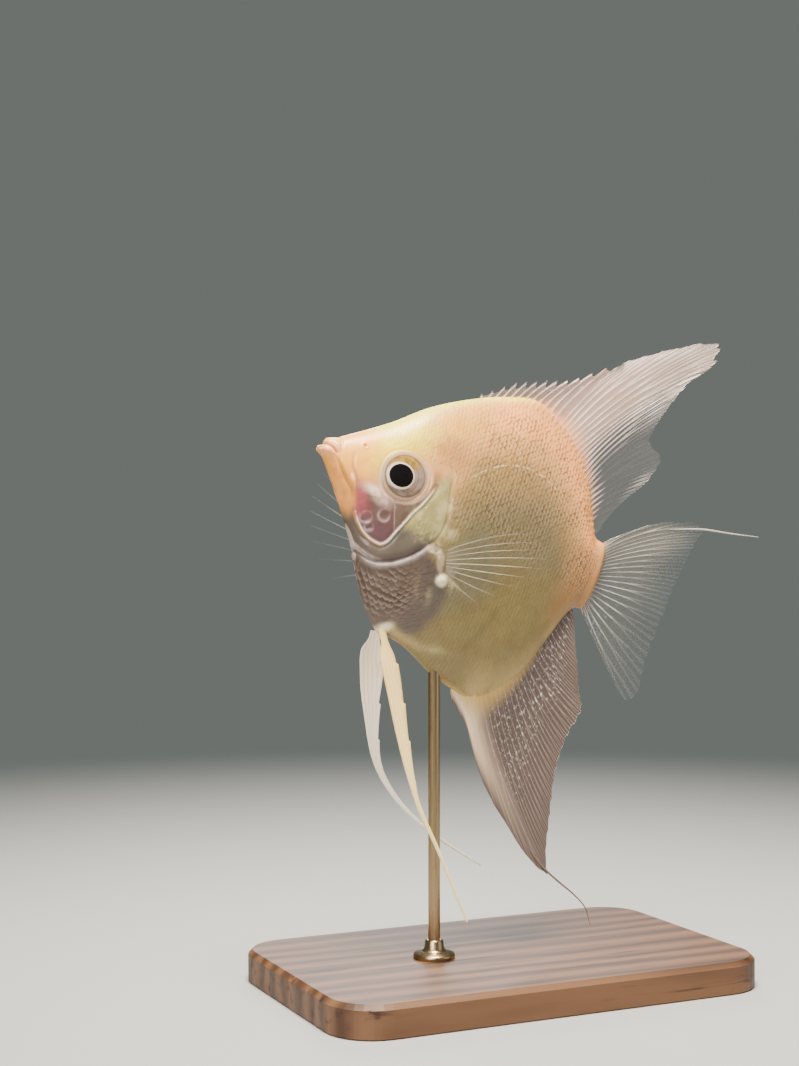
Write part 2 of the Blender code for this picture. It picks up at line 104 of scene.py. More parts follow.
# Places on the body, in (a, d), some with a radius or a tilt.
PORES = [((15.3, -11.5), 1.3), ((18.9, -9.6), 1.35), ((16.9, -13.4), 0.9)]
NOSTRIL = (8.8, 4.6)
PAD, PAD_TILT = (36.7, -14.5), 25
AXIL = (34.6, -12.4)
KNOB = (38.9, -18.3)
PELVIC_KNOB = (31.5, -34)
BREAST = (28.2, -26.5)

# Where the dorsal and anal fins start and end, and their counts of spines and soft rays.
DORSAL_ROOT, DORSAL_RAYS = (34, 78.6), (12, 24)
ANAL_ROOT, ANAL_RAYS = (54.5, 80.2), (6, 25)

# Ridges and creases along lines of the head: (height, distance from the line, width, fades along it).
RIDGES = [
    # Rolled lips on both sides of the mouth's slit, and the crease behind the upper one.
    (MOUTH_LINE, [(0.5, -1.2, 0.95, 1, 0.55), (0.6, 1.2, 1, 1, 0.5), (-0.85, 0, 0.2, 1, 0.7)]),
    (LIP_FOLD, [(-0.3, 0, 0.32, 1, 0.6)]),
    # The upper jaw's blade lies over the lower jaw, and the cheek starts at a fold behind it.
    (JAW_LINE, [(-0.34, 0.2, 0.36, 0.12, 0.25, 0.72, 0.55), (0.24, -0.7, 0.7, 0.12, 0.25, 0.66, 0.5),
                (-0.16, 2.2, 0.5, 0.3, 0.45, 1, 0.8)]),
    (CHEEK_FOLD, [(-0.3, 0, 0.36, 0, 0.15, 1, 0.8), (0.26, -1.5, 1.2, 0.25, 0.5, 1, 0.7)]),
    (CHEEK_EDGE, [(0.3, 0, 0.15), (-0.22, 0.6, 0.45), (-0.2, -0.6, 0.5)]),
]


# ---- Shape functions


def smooth(at, knots, column=1):
    """A monotone cubic through the knots, so that it never overshoots a tip."""
    table = np.array(knots, float)
    x, y = table[:, 0], table[:, column]
    step, rise = np.diff(x), np.diff(y)
    slope = rise / step
    tangent = np.zeros(len(x))
    tangent[0], tangent[-1] = slope[0], slope[-1]
    for i in range(1, len(x) - 1):
        if slope[i - 1] * slope[i] > 0:
            before, after = 2 * step[i] + step[i - 1], step[i] + 2 * step[i - 1]
            tangent[i] = (before + after) / (before / slope[i - 1] + after / slope[i])
    at = np.clip(np.asarray(at, float), x[0], x[-1])
    i = np.clip(np.searchsorted(x, at, side="right") - 1, 0, len(step) - 1)
    u = (at - x[i]) / step[i]
    return (
        y[i] * (1 + 2 * u) * (1 - u) ** 2
        + step[i] * tangent[i] * u * (1 - u) ** 2
        + y[i + 1] * u * u * (3 - 2 * u)
        + step[i] * tangent[i + 1] * u * u * (u - 1)
    )


def ramp(x, low, high, *more):
    """0 below low, 1 above high and smooth between; low may be the larger. More pairs multiply more ramps."""
    u = np.clip((x - low) / (high - low), 0, 1)
    return u * u * (3 - 2 * u) * (ramp(x, *more) if more else 1)


def bell(x, width):
    return np.exp(-((x / width) ** 2))


def spot(a, d, centre, radii, tilt=0, soft=0.5):
    """1 inside a tilted oval, falling to 0 at its edge."""
    turn = math.radians(tilt)
    da, dd = a - centre[0], d - centre[1]
    u = (da * math.cos(turn) + dd * math.sin(turn)) / radii[0]
    v = (dd * math.cos(turn) - da * math.sin(turn)) / radii[1]
    return ramp(np.hypot(u, v), 1, 1 - soft)


def distance(a, d, place):
    return np.hypot(a - place[0], d - place[1])


def unit(vectors):
    return vectors / np.maximum(np.linalg.norm(vectors, axis=-1, keepdims=True), 1e-12)


def circle(count, offset=0):
    """Angles spaced evenly round a full turn."""
    return 2 * math.pi * (np.arange(count) + offset) / count


def arc_length(points):
    """The distance along a line of points, from its first one to each."""
    return np.concatenate([[0], np.cumsum(np.linalg.norm(np.diff(points, axis=0), axis=1))])


def resampled(line, count=48):
    """The line as a smooth curve of evenly spaced points."""
    line = np.array(line, float)
    knots = np.column_stack([arc_length(line), line])
    at = np.linspace(0, knots[-1, 0], count)
    return np.stack([smooth(at, knots, k) for k in range(1, knots.shape[1])], axis=1)


def near_line(a, d, line):
    """For each point: its distance from the line, signed + on the line's right, and its share along it."""
    curve = resampled(line)
    best = np.full(np.shape(a), 1e9)
    sign, share = np.ones(best.shape), np.zeros(best.shape)
    for i in range(len(curve) - 1):
        (a0, d0), (ea, ed) = curve[i], curve[i + 1] - curve[i]
        length = math.hypot(ea, ed)
        u = np.clip(((a - a0) * ea + (d - d0) * ed) / length**2, 0, 1)
        away = np.hypot(a - a0 - u * ea, d - d0 - u * ed)
        closer = away < best
        cross = (a - a0) * ed - (d - d0) * ea
        best = np.where(closer, away, best)
        sign = np.where(closer, np.where(cross < 0, -1, 1), sign)
        share = np.where(closer, (i + u) / (len(curve) - 1), share)
    return best * sign, share


def section(a, up):
    """The body's section at station a: its widest level, its reach up or down from there, its rounding."""
    level = smooth(a, WIDEST_LEVEL)
    reach = np.where(up, smooth(a, BACK) - level, level - smooth(a, BELLY))
    return level, reach, np.where(up, smooth(a, BACK_ROUNDING), smooth(a, BELLY_ROUNDING))


def flank(a, turn, inset=0):
    """Body coordinates of the body's surface at station a; turn is 0 at the back and pi at the belly."""
    rise, side = np.cos(turn), np.sin(turn)
    level, reach, rounding = section(a, rise > 0)
    n = np.sign(side) * (smooth(a, HALF_WIDTH) - inset) * np.abs(side) ** (2 * rounding)
    return np.stack([a, level + (reach - inset) * rise, n], axis=-1)


def height_share(a, d):
    """How far up or down from the widest level d lies, as a share of the outline there, and the rounding."""
    level, reach, rounding = section(a, d > smooth(a, WIDEST_LEVEL))
    return (d - level) / reach, rounding


def side_at(a, d):
    """Half of the body's width at a place on its flank."""
    share, rounding = height_share(a, d)
    return smooth(a, HALF_WIDTH) * (1 - np.clip(np.abs(share), 0, 1) ** 2) ** rounding


def turn_at(a, d):
    """The turn round the body at which flank() reaches level d."""
    return np.arccos(np.clip(height_share(a, d)[0], -0.99, 0.99))


def normals(place, across, along):
    """Outward unit normals of the surface place(across, along), by small steps."""
    e = 1e-3
    one = place(across + e, along) - place(across - e, along)
    two = place(across, along + e) - place(across, along - e)
    return unit(np.cross(two, one))


def snout_place():
    """World x and z of the snout, in mm, worked out from where the frame has the eye."""
    low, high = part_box("eye_left")
    middle = (low + high) / 2 / MM
    x = middle.x - EYE[0] * math.cos(NOSE_UP) - EYE[1] * math.sin(NOSE_UP)
    z = middle.z + EYE[0] * math.sin(NOSE_UP) - EYE[1] * math.cos(NOSE_UP)
    return x, z


SNOUT = snout_place()


def to_world(points):
    """Body coordinates in mm to world metres."""
    a, d, n = points[..., 0], points[..., 1], points[..., 2]
    x = SNOUT[0] + a * math.cos(NOSE_UP) + d * math.sin(NOSE_UP)
    z = SNOUT[1] - a * math.sin(NOSE_UP) + d * math.cos(NOSE_UP)
    return np.stack([x, -n, z], axis=-1) * MM


# ---- Relief and markings


def gill_side(a, d):
    """Distance behind the edge of the gill cover, - on the cover itself, and the share along it."""
    away, share = near_line(a, d, GILL_OPENING)
    return -away, share


def eye_ring(a, d):
    return np.hypot((a - EYE[0] - 0.1) / 1.03, d - EYE[1] - 0.1)


def below_eye(a, d):
    """1 below and behind the eye's middle, 0 above and before it."""
    return ramp(a * 0.4 - d * 0.6, 3.5, 8)


def fin_comb(a, d, profile, span, rays):
    """Ridges where a fin's rays run into the body, 1 on a ray and 0 between, and the depth below the fin."""
    edge = np.abs(smooth(a, profile) - d)
    knots = np.linspace(*span, 120)
    length = arc_length(np.stack([knots, smooth(knots, profile)], axis=1))
    index = np.interp(a + 0.5 * edge, knots, length / length[-1] * sum(rays))
    return 0.5 - 0.5 * np.cos(2 * math.pi * index), edge


def relief(a, d):
    """How far the skin stands out from the plain loft, in mm."""
    out = np.zeros(np.shape(a))
    for line, ridges in RIDGES:
        away, share = near_line(a, d, line)
        for height, offset, width, *fades in ridges:
            out += height * bell(away - offset, width) * (ramp(share, *fades) if fades else 1)
    # Nostril: a pit with a raised rim. The cheek's pores have rims too.
    hole = distance(a, d, NOSTRIL)
    out += 0.12 * bell(hole - 0.65, 0.25) - 0.5 * bell(hole, 0.3)
    for centre, radius in PORES:
        pore = distance(a, d, centre)
        out += 0.15 * bell(pore - radius, 0.24) - 0.12 * bell(pore, 0.6 * radius)
    # Orbit: a low rim round the socket that the eyeball fills, and a second fold below it.
    ring = eye_ring(a, d)
    out += 0.09 * bell(ring - 5.9, 0.26) - 0.07 * bell(ring - 6.4, 0.25)
    out += 0.1 * bell(ring - 6.9, 0.3) * below_eye(a, d)
    out -= 2.6 * ramp(ring, 5.6, 5.15)
    # Gill cover: its free edge is plain below and hardly shows above.
    behind, share = gill_side(a, d)
    low = ramp(share, 0.47, 0.6)
    out += (0.12 + 0.26 * low) * ramp(behind, 0.02, -0.22, -5, -1)
    out -= (0.12 + 0.4 * low) * bell(behind - 0.3, 0.34) * ramp(share, 0, 0.08)
    out += (0.05 + 0.3 * low) * bell(behind - 1.2, 0.7) * ramp(share, 1, 0.95)
    # Pectoral root: a fleshy pad, the hole before it and the knob below. Then the root of each pelvic fin.
    out += 0.5 * spot(a, d, PAD, (1.7, 3.8), PAD_TILT, 0.8)
    out -= 0.4 * bell(distance(a, d, AXIL), 0.6)
    out += 0.7 * spot(a, d, KNOB, (2.3, 2.2), 0, 0.9)
    out += 0.7 * spot(a, d, PELVIC_KNOB, (2.6, 2), 35, 0.9)
    # Sheaths of the dorsal and anal fins.
    comb, edge = fin_comb(a, d, BACK, DORSAL_ROOT, DORSAL_RAYS)
    out += (0.24 + 0.18 * comb) * bell(edge - 1, 1.7) * ramp(a, 38, 50, 80, 76)
    comb, edge = fin_comb(a, d, BELLY, ANAL_ROOT, ANAL_RAYS)
    out += (0.06 + 0.12 * comb) * bell(edge - 1.4, 1.5) * ramp(a, 54, 60, 80, 75)
    return out


def scale_strength(a, d):
    """How plainly the scales show: on the upper flank, the breast and the root of the tail."""
    back = smooth(a, BACK) - d
    upper = ramp(a, 29, 40) * ramp(d, -8, 1) * ramp(back, 1, 6) * (0.65 + 0.35 * ramp(back, 22, 14))
    upper *= 1 - 0.75 * spot(a, d, (69, 0), (9, 13), 15, 0.6)
    breast = spot(a, d, (25.5, -25.5), (10, 10.5), 0, 0.5)
    tail = spot(a, d, (75, -1), (7.5, 11), 0, 0.6)
    return np.clip(0.04 + 0.96 * upper + 0.75 * breast + 0.4 * tail, 0.03, 1)


# Where wet glints show: strength, centre, radii, tilt and softness of each patch.
SPARKLES = [
    (0.8, (29.5, -3.5), (8, 11), 0, 0.6), (1, (36, -4.6), (3.4, 5.5), 0, 0.7),
    (0.9, (33.2, -11), (2.6, 2.4), 0, 0.7), (0.45, (35.5, -22.5), (3.2, 5.5), 35, 0.7),
    (0.9, (42.5, -19), (4, 2.2), -35, 0.7),
]


def markings(a, d):
    """The soft patches of colour, as masks from 0 to 1, shared by skin and scales; some are painted
    highlights and painted shade.
    """
    behind, gill = gill_side(a, d)
    cheek, cheek_share = near_line(a, d, CHEEK_EDGE)
    fold, fold_share = near_line(a, d, CHEEK_FOLD)
    jaw, jaw_share = near_line(a, d, JAW_LINE)
    mouth, mouth_share = near_line(a, d, MOUTH_LINE)
    border, lateral, lit_fold, shaded_fold = (
        near_line(a, d, line)[0] for line in (CHEEK_BORDER, LATERAL_LINE, LIT_FOLD, SHADED_FOLD)
    )
    comb, _ = fin_comb(a, d, BACK, DORSAL_ROOT, DORSAL_RAYS)
    ring = eye_ring(a, d)
    back, belly = smooth(a, BACK) - d, d - smooth(a, BELLY)
    low_gill = ramp(gill, 0.48, 0.6)
    in_cheek = ramp(-cheek, -0.1, 0.5) * ramp(-fold, -0.5, 0.7) * ramp(ring, 5.9, 7)
    in_cheek *= ramp(d, 1.5, -1) * ramp(a, 29, 27.5, 8, 10)
    rims = sum(bell(distance(a, d, c) - r, 0.28) * ramp(d, c[1] + r, c[1] - r) for c, r in PORES)
    aft = ramp(a, 50, 60)
    oval = lambda *shape: spot(a, d, *shape)
    sparkle = 0.3 * bell(behind - 0.9, 1.6) * ramp(gill, 0.5, 0.4)
    sparkle = sparkle + sum(strength * oval(*patch) for strength, *patch in SPARKLES)
    return {
        # Paler along the back: in part the back's own warm colour and in part a painted highlight of the
        # light from above.
        "back_tint_and_highlight": ramp(back, 13, 7.5) * ramp(a, 28, 42, 83, 79),
        # Lighter along the belly's edge over the anal fin: painted light that offsets the keel's shade, near
        # the fin root's own colour.
        "keel_painted_light": np.maximum(0.75 * ramp(belly, 13, 1) * ramp(a, 54, 62), ramp(belly, 1.5, 0.4))
        * ramp(a, 47, 54, 80, 74),
        "peach_snout": ramp(a, 15, 8),
        "tan_flank": ramp(back, 21 - 3 * aft, 33 - 5 * aft) * ramp(a, 34, 42, 82, 71),
        "tan_side": ramp(back, 12, 21) * ramp(a, 32, 38, 81, 72),
        "olive_belly": ramp(d, 2, -20) * ramp(a, 33, 41),
        "peach_tail": ramp(a, 68, 76) * ramp(d, 10, 3, -26, -10),
        "pale_brow": ramp(a, 34, 18) * ramp(back, 18, 5),
        "yellow_nape": oval((30, 22), (15, 8), 38, 0.7),
        "salmon_nape": oval((31, 11.5), (7.5, 6.5), 0, 0.8),
        "tan_orbit": oval((28.4, 1.5), (3.4, 5.5), 10, 0.7) * ramp(ring, 6.6, 7.6),
        "grey_shoulder": oval((34, -6), (9, 13.5), -10, 0.65) * ramp(ring, 6.5, 8.5),
        "green_side": oval((43, -13), (13.5, 15), 0, 0.6),
        "olive_gill": ramp(behind, 0.6, -0.4) * ramp(cheek, -0.4, 0.3) * ramp(a, 21, 24) * ramp(d, 9, 4),
        "grey_throat": ramp(behind, 1, 0.6) * ramp(cheek, 0.1, 0.6) * ramp(d, -8.5, -12) * ramp(a, 9, 11.5),
        "beige_cheek": in_cheek * ramp(border, 0.4, 0),
        "lilac_cheek": in_cheek * ramp(border, -0.4, 0.1) * ramp(d, -3.5, -6.5),
        "plum_cheek": in_cheek * ramp(border, -0.5, 1) * ramp(d, -9.5, -13.5),
        "rose_cheek": bell(-fold - 0.9, 0.8 + 0.9 * fold_share) * ramp(fold_share, 0.35, 0.6)
        * ramp(d, -13.5, -10),
        # Pearly clouds on the cheek, and a painted highlight on the upper jaw's blade (the last oval).
        "pearl_cloud_and_highlight": np.maximum.reduce([
            oval((14.8, -4.9), (5.6, 2), -5, 0.8) * ramp(ring, 5.9, 6.5),
            0.55 * oval((17, -6), (4.5, 2.6), -8, 0.9) * ramp(ring, 5.9, 6.5),
            oval((8.3, -3.7), (1.1, 0.6), -50, 0.6),
        ]),
        "lilac_breast": ramp(behind, 0.1, 0.6) * oval((28.2, -25), (15.8, 14), 0, 0.25),
        "orange_jaw": ramp(jaw, 0, 0.6) * ramp(a, 1.6, 4.5) * ramp(d, -12, -8) * ramp(cheek, -0.6, 0.2),
        "amber_streak": bell(jaw - 1.3, 0.9) * ramp(jaw_share, 0.2, 0.34, 0.85, 0.7),
        "pink_lip": oval((0.9, 1.4), (4.2, 3.6), 35, 0.6),
        # A thin painted highlight along the top edge of the head and back.
        "back_rim_highlight": ramp(back, 2.6, 0.3) * ramp(a, 6, 16, 56, 44),
        "pink_rays": (1 - comb) * bell(back - 0.8, 3) * ramp(a, 42, 52, 80, 75),
        # A pale line on the ridge of the cheek's edge: in part its own colour and in part a painted
        # highlight.
        "cheek_ridge_line_and_highlight": bell(cheek, 0.14) * ramp(cheek_share, 0, 0.06, 1, 0.85),
        "pore_rings": np.clip(rims + 0.8 * bell(border, 0.13) * ramp(d, -5.5, -6.2, -12.4, -11.6), 0, 1),
        "pale_orbit": ramp(ring, 7.3, 6.4, 5.8, 6.2) * below_eye(a, d),
        "gill_rim": bell(behind - 1.1, 0.6) * low_gill * ramp(gill, 0.9, 0.82)
        + bell(behind + 0.15, 0.25) * ramp(gill, 0.78, 0.84, 1, 0.96),
        # A thin painted highlight along the throat's lower edge.
        "throat_rim_highlight": ramp(belly, 0.24, 0.05) * ramp(a, 8, 12, 33, 30),
        # Painted light along a fold of the belly, and painted shade along a crease of it.
        "fold_highlights": bell(lit_fold, 1.1) * ramp(a, 30.5, 33, 50, 44),
        "fold_shade": bell(shaded_fold, 1) * ramp(d, -34, -30, -17, -21),
        "root_fan": oval((33.6, -12.3), (2.7, 1.15), 8, 0.6),
        # Distance from where painted glinting dashes run: the lateral line and the gill's rear edge.
        "glint_dash_gap": np.clip(np.minimum(
            np.abs(lateral),
            np.abs(behind - 0.9) + 0.12 + 9 * ramp(gill, 0.36, 0.44) + 9 * ramp(gill, 0.05, 0),
        ), 0, 4),
        # Painted shade under the gill cover's lower edge, in the mouth's slit, the cheek fold, along the
        # jaw's edge, in the nostril's pit, in the creases round the eye and in the hole before the pectoral
        # root.
        "crease_shade": np.maximum.reduce([
            0.6 * bell(behind + 0.3, 0.9) * low_gill * ramp(gill, 0.9, 0.8),
            0.5 * bell(mouth, 0.2) * ramp(mouth_share, 1, 0.8),
            0.5 * bell(fold, 0.3) * ramp(fold_share, 0.1, 0.3, 0.75, 0.55),
            0.4 * bell(jaw - 0.2, 0.3) * ramp(jaw_share, 0.2, 0.3, 0.6, 0.5),
            0.45 * bell(distance(a, d, NOSTRIL), 0.3),
            0.6 * bell(ring - 5.5, 0.14),
            0.25 * bell(ring - 6.35, 0.14),
            0.85 * bell(distance(a, d, AXIL), 0.45),
        ]),
        "pink_pad": oval(PAD, (1.35, 3.2), PAD_TILT, 0.4),
        "cream_knob": np.maximum(oval(KNOB, (2.1, 2), 0, 0.5), oval(PELVIC_KNOB, (3, 2), 35, 0.8)),
        "sparkle": np.clip(sparkle, 0, 1) * ramp(ring, 6, 8),
        "nape_strokes": oval((29, 10.5), (7, 8), 0, 0.6) * ramp(ring, 6.4, 7.6),
    }


# ---- Meshes


def grid_faces(rows, columns, wrap=False):
    """Quads of a grid of points; wrap joins the last column to the first."""
    r, c = np.arange(rows - 1)[:, None] * columns, np.arange(columns if wrap else columns - 1)
    after = (c + 1) % columns
    return np.stack([r + c, r + after, r + columns + after, r + columns + c], -1).reshape(-1, 4)


def placed(name, data):
    obj = bpy.data.objects.new(name, data)
    bpy.context.scene.collection.objects.link(obj)
    return obj


def piece(name, points, faces, values, material, slot, *nodes, uv=None):
    """A smooth mesh from world points, quads and named vertex values, in place of these CAD nodes."""
    shape = points.shape[:-1]
    mesh = bpy.data.meshes.new(name)
    mesh.vertices.add(math.prod(shape))
    mesh.vertices.foreach_set("co", points.astype(np.float32).ravel())
    mesh.loops.add(faces.size)
    mesh.loops.foreach_set("vertex_index", faces.astype(np.int32).ravel())
    mesh.polygons.add(len(faces))
    mesh.polygons.foreach_set("loop_start", np.arange(0, faces.size, 4, dtype=np.int32))
    mesh.polygons.foreach_set("use_smooth", np.ones(len(faces), bool))
    mesh.update(calc_edges=True)
    for key, value in values.items():
        layer = mesh.attributes.new(key, "FLOAT", "POINT")
        layer.data.foreach_set("value", np.broadcast_to(value, shape).astype(np.float32).ravel())
    if uv is not None:
        layer = mesh.uv_layers.new(name="OFBake")
        layer.data.foreach_set("uv", uv.reshape(-1, 2)[faces.ravel()].astype(np.float32).ravel())
    mesh.validate()
    mesh.materials.append(material)
    obj = placed(name, mesh)
    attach(obj, "root")
    if nodes:
        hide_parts(*nodes)


# ---- Materials


def math_node(operation):
    """A method of Value that adds this Math node."""
    return lambda self, *others: self.nodes.math(operation, self, *others)


class Value:
    """A number or a colour in a material's node tree; arithmetic on it adds Math nodes."""

    __add__, __sub__, __mul__, __abs__ = map(math_node, ("ADD", "SUBTRACT", "MULTIPLY", "ABSOLUTE"))

    def __init__(self, nodes, socket):
        self.nodes, self.socket = nodes, socket

    def __rsub__(self, other):
        return self.nodes.math("SUBTRACT", other, self)

    def ramp(self, low, high):
        limits = {"Value": self, "From Min": low, "From Max": high}
        return self.nodes.add("MapRange", 0, limits, interpolation_type="SMOOTHSTEP")

    def blend(self, one, two):
        """A number between one and two."""
        return self * (two - one) + one

    def mix(self, one, two, kind="MIX"):
        """A colour between one and two."""
        return self.nodes.add("Mix", 2, {0: self, 6: one, 7: two}, data_type="RGBA", blend_type=kind)


class Nodes:
    """Short names for building a material's node tree."""

    def __init__(self, name):
        self.material = bpy.data.materials.new(name)
        self.material.use_nodes = True
        self.tree = self.material.node_tree
        self.shader = self.tree.nodes["Principled BSDF"]

    def __getitem__(self, name):
        """The mesh's own value of this name."""
        return self.add("Attribute", "Fac", {}, attribute_name=name)

    def link(self, value, socket):
        if isinstance(value, Value):
            self.tree.links.new(value.socket, socket)
        else:
            socket.default_value = (*value, 1) if socket.type == "RGBA" else value

    def add(self, kind, output, inputs, **settings):
        node = self.tree.nodes.new("ShaderNode" + kind)
        for key, setting in settings.items():
            setattr(node, key, setting)
        for key, value in inputs.items():
            self.link(value, node.inputs[key])
        return Value(self, node.outputs[output])

    def math(self, operation, *values, clamp=False):
        return self.add("Math", 0, dict(enumerate(values)), operation=operation, use_clamp=clamp)

    def place(self, stretch=(1, 1, 1)):
        """A place in the object's own space."""
        return self.add("Mapping", 0, {0: self.add("TexCoord", "Object", {}), "Scale": stretch})

    def noise(self, per_mm, detail=3, stretch=(1, 1, 1)):
        """Noise over the object's own space, with the given number of lumps per mm."""
        inputs = {"Vector": self.place(stretch), "Scale": per_mm / MM, "Detail": detail}
        return self.add("TexNoise", "Fac", inputs)

    def fibres(self, per_ray, per_mm):
        """Noise drawn out along a fin's rays."""
        place = self.add("CombineXYZ", 0, {0: self["ray"] * per_ray, 1: self["reach"] * per_mm})
        return self.add("TexNoise", "Fac", {"Vector": place, "Scale": 1, "Detail": 3})

    def bump(self, height, depth_mm, strength=1):
        inputs = {"Strength": strength, "Distance": depth_mm * MM, "Height": height}
        self.link(self.add("Bump", 0, inputs), self.shader.inputs["Normal"])

    def finish(self, **values):
        """The material, with these inputs of its shader; coat_weight stands for Coat Weight."""
        for key, value in values.items():
            self.link(value, self.shader.inputs[key.replace("_", " ").title().replace("Ior", "IOR")])
        return self.material


def painted(colour, *layers):
    """The colour under layers of (strength, colour) or (strength, colour, way of mixing), in turn."""
    for strength, *layer in layers:
        colour = strength.mix(colour, *layer)
    return colour


# Colours of the patches, laid over each other in this order: (mask, colour, strength).
PEACH = (0.66, 0.32, 0.095)
PATCHES = [
    # In part a painted highlight along the back.
    ("back_tint_and_highlight", (1, 0.4, 0.105), 0.95),
    ("tan_side", (0.298, 0.188, 0.056), 0.9),
    ("tan_flank", (0.175, 0.13, 0.053), 0.9),
    ("olive_belly", (0.218, 0.16, 0.047), 0.92),
    ("green_side", (0.16, 0.138, 0.075), 0.88),
    ("peach_tail", (0.34, 0.16, 0.052), 0.8),
    # Painted light on the keel, offsetting its shade.
    ("keel_painted_light", (0.6, 0.41, 0.14), 0.8),
    ("pale_brow", (1, 0.75, 0.03), 0.95),
    ("peach_snout", (1, 0.37, 0.055), 0.85),
    ("yellow_nape", (0.77, 0.36, 0.055), 0.85),
    ("salmon_nape", (0.5, 0.225, 0.065), 0.75),
    ("grey_shoulder", (0.27, 0.2, 0.078), 0.8),
    ("tan_orbit", (0.215, 0.126, 0.057), 0.85),
    ("olive_gill", (0.31, 0.272, 0.098), 0.92),
    ("grey_throat", (0.085, 0.068, 0.055), 0.95),
    ("lilac_breast", (0.093, 0.07, 0.058), 0.95),
    ("beige_cheek", (0.12, 0.08, 0.06), 0.95),
    ("lilac_cheek", (0.1, 0.053, 0.055), 0.95),
    ("plum_cheek", (0.12, 0.05, 0.056), 0.8),
    ("rose_cheek", (0.56, 0.105, 0.12), 0.9),
    # Pearly cheek clouds, with a painted highlight on the upper jaw.
    ("pearl_cloud_and_highlight", (1, 0.72, 0.56), 0.95),
    ("orange_jaw", (1, 0.41, 0.1), 0.9),
    ("amber_streak", (0.95, 0.38, 0.06), 0.75),
    ("pink_lip", (1, 0.46, 0.19), 0.9),
    ("pale_orbit", (0.62, 0.42, 0.29), 0.7),
    # Painted highlight along the top edge.
    ("back_rim_highlight", (0.85, 0.8, 0.055), 0.85),
    # Painted highlight along the throat's edge.
    ("throat_rim_highlight", (0.62, 0.5, 0.44), 0.8),
    # Painted light and painted shade of the belly's folds.
    ("fold_highlights", (0.5, 0.38, 0.15), 0.75),
    ("fold_shade", (0.15, 0.11, 0.035), 0.6),
    ("pink_rays", (0.6, 0.235, 0.09), 0.85),
    ("pink_pad", (0.5, 0.34, 0.2), 0.85),
    ("cream_knob", (1, 0.88, 0.56), 0.95),
    ("gill_rim", (0.68, 0.55, 0.5), 0.8),
    ("root_fan", (1, 0.88, 0.62), 0.85),
    ("pore_rings", (0.62, 0.42, 0.4), 0.6),
    # In part a painted highlight on the cheek edge's ridge.
    ("cheek_ridge_line_and_highlight", (1, 0.93, 0.84), 1),
    # Painted shade in slits, creases and pits.
    ("crease_shade", (0.07, 0.04, 0.03), 0.8),
]
WISPY = ("pearl_cloud_and_highlight", "rose_cheek", "gill_rim", "pink_pad", "root_fan")


def marked_colour(nodes):
    """The fish's colour from its masks, some of them painted light and shade, with streaks, veins, a faint
    mottle and painted flecks of light.
    """
    colour = PEACH
    wisps = nodes.noise(0.8, 4).ramp(0.36, 0.6).blend(0.6, 1)
    for mask, patch, strength in PATCHES:
        factor = nodes[mask] * strength
        colour = (factor * wisps if mask in WISPY else factor).mix(colour, patch)
    streaks = nodes.noise(1, 3, (1, 1, 0.22)).ramp(0.46, 0.6) * nodes["orange_jaw"]
    strokes = nodes.noise(0.55, 3, (1, 1, 0.45)).ramp(0.5, 0.66) * nodes["nape_strokes"]
    veins = nodes.noise(0.14, 5).ramp(0.5, 0.62) * nodes["olive_belly"]
    mottle = nodes.noise(0.35, 5).ramp(0.35, 0.7)
    # Painted glints on the shoulder and gill cover, with soft patches of painted sheen under them, and
    # painted glinting dashes along the lateral line and the gill's rear edge.
    glints = nodes.noise(1.3, 3).ramp(0.64, 0.72) * nodes.noise(0.45, 3).ramp(0.48, 0.56) * nodes["sparkle"]
    cloud = nodes.noise(0.3, 6).ramp(0.42, 0.66) * nodes["sparkle"]
    gap = nodes["glint_dash_gap"]
    dashes = (gap + (nodes.noise(0.8, 4) - 0.46) * 1.2).ramp(0.36, 0.1) * gap.ramp(0.42, 0.12)
    return painted(
        colour,
        (streaks * 0.55, (0.8, 0.29, 0.045)),
        (strokes * 0.6, (0.52, 0.21, 0.055)),
        (veins * 0.35, (0.19, 0.12, 0.04)),
        (mottle * 0.35, (0.7, 0.6, 0.5), "MULTIPLY"),
        (cloud * 0.65, (0.62, 0.5, 0.24)),
        (nodes.math("MAXIMUM", glints, dashes * 0.65) * 0.6, (1, 0.82, 0.42)),
    )


def skin_material():
    nodes = Nodes("fish_skin")
    nodes.bump(nodes.noise(1.4, 5), 0.09, 0.6)
    return nodes.finish(
        base_color=marked_colour(nodes), roughness=nodes.noise(0.8, 2).blend(0.3, 0.45), coat_weight=0.16,
        coat_roughness=0.18, subsurface_weight=0.1, subsurface_scale=1.2 * MM,
    )


def scale_material():
    """Each scale is darker where the next one shades it, as painted shade, with a light band along its free
    edge that is in part its pearly colour and in part a painted highlight.
    """
    nodes = Nodes("fish_scales")
    shows = nodes.math("MULTIPLY", nodes["shows"], nodes.noise(0.2, 5).ramp(0.32, 0.6), clamp=True)
    edge = nodes["edge"].ramp(0.5, 0.9)
    root_shade = nodes["edge"].ramp(0.62, 0.3)
    colour = painted(
        marked_colour(nodes),
        # root_shade is painted shade where the neighbouring scale overlaps the root. The free edge is
        # lighter, in part pearly colour and in part painted highlight, and it is pinker on the breast.
        (root_shade * (shows * 0.9), (0.5, 0.45, 0.36), "MULTIPLY"),
        (edge * (shows * 0.16), (1, 0.78, 0.55), "SCREEN"),
        (nodes["tone"] * (shows * 0.5), (0.66, 0.54, 0.42), "MULTIPLY"),
        (edge * nodes["lilac_breast"] * shows * 0.5, (0.235, 0.15, 0.145)),
    )
    nodes.bump(nodes.noise(2.4, 4), 0.06, 0.5)
    return nodes.finish(
        base_color=colour, roughness=edge.blend(0.4, 0.28), coat_weight=0.16, coat_roughness=0.18,
        subsurface_weight=0.06, subsurface_scale=1 * MM,
    )


# ---- Skin


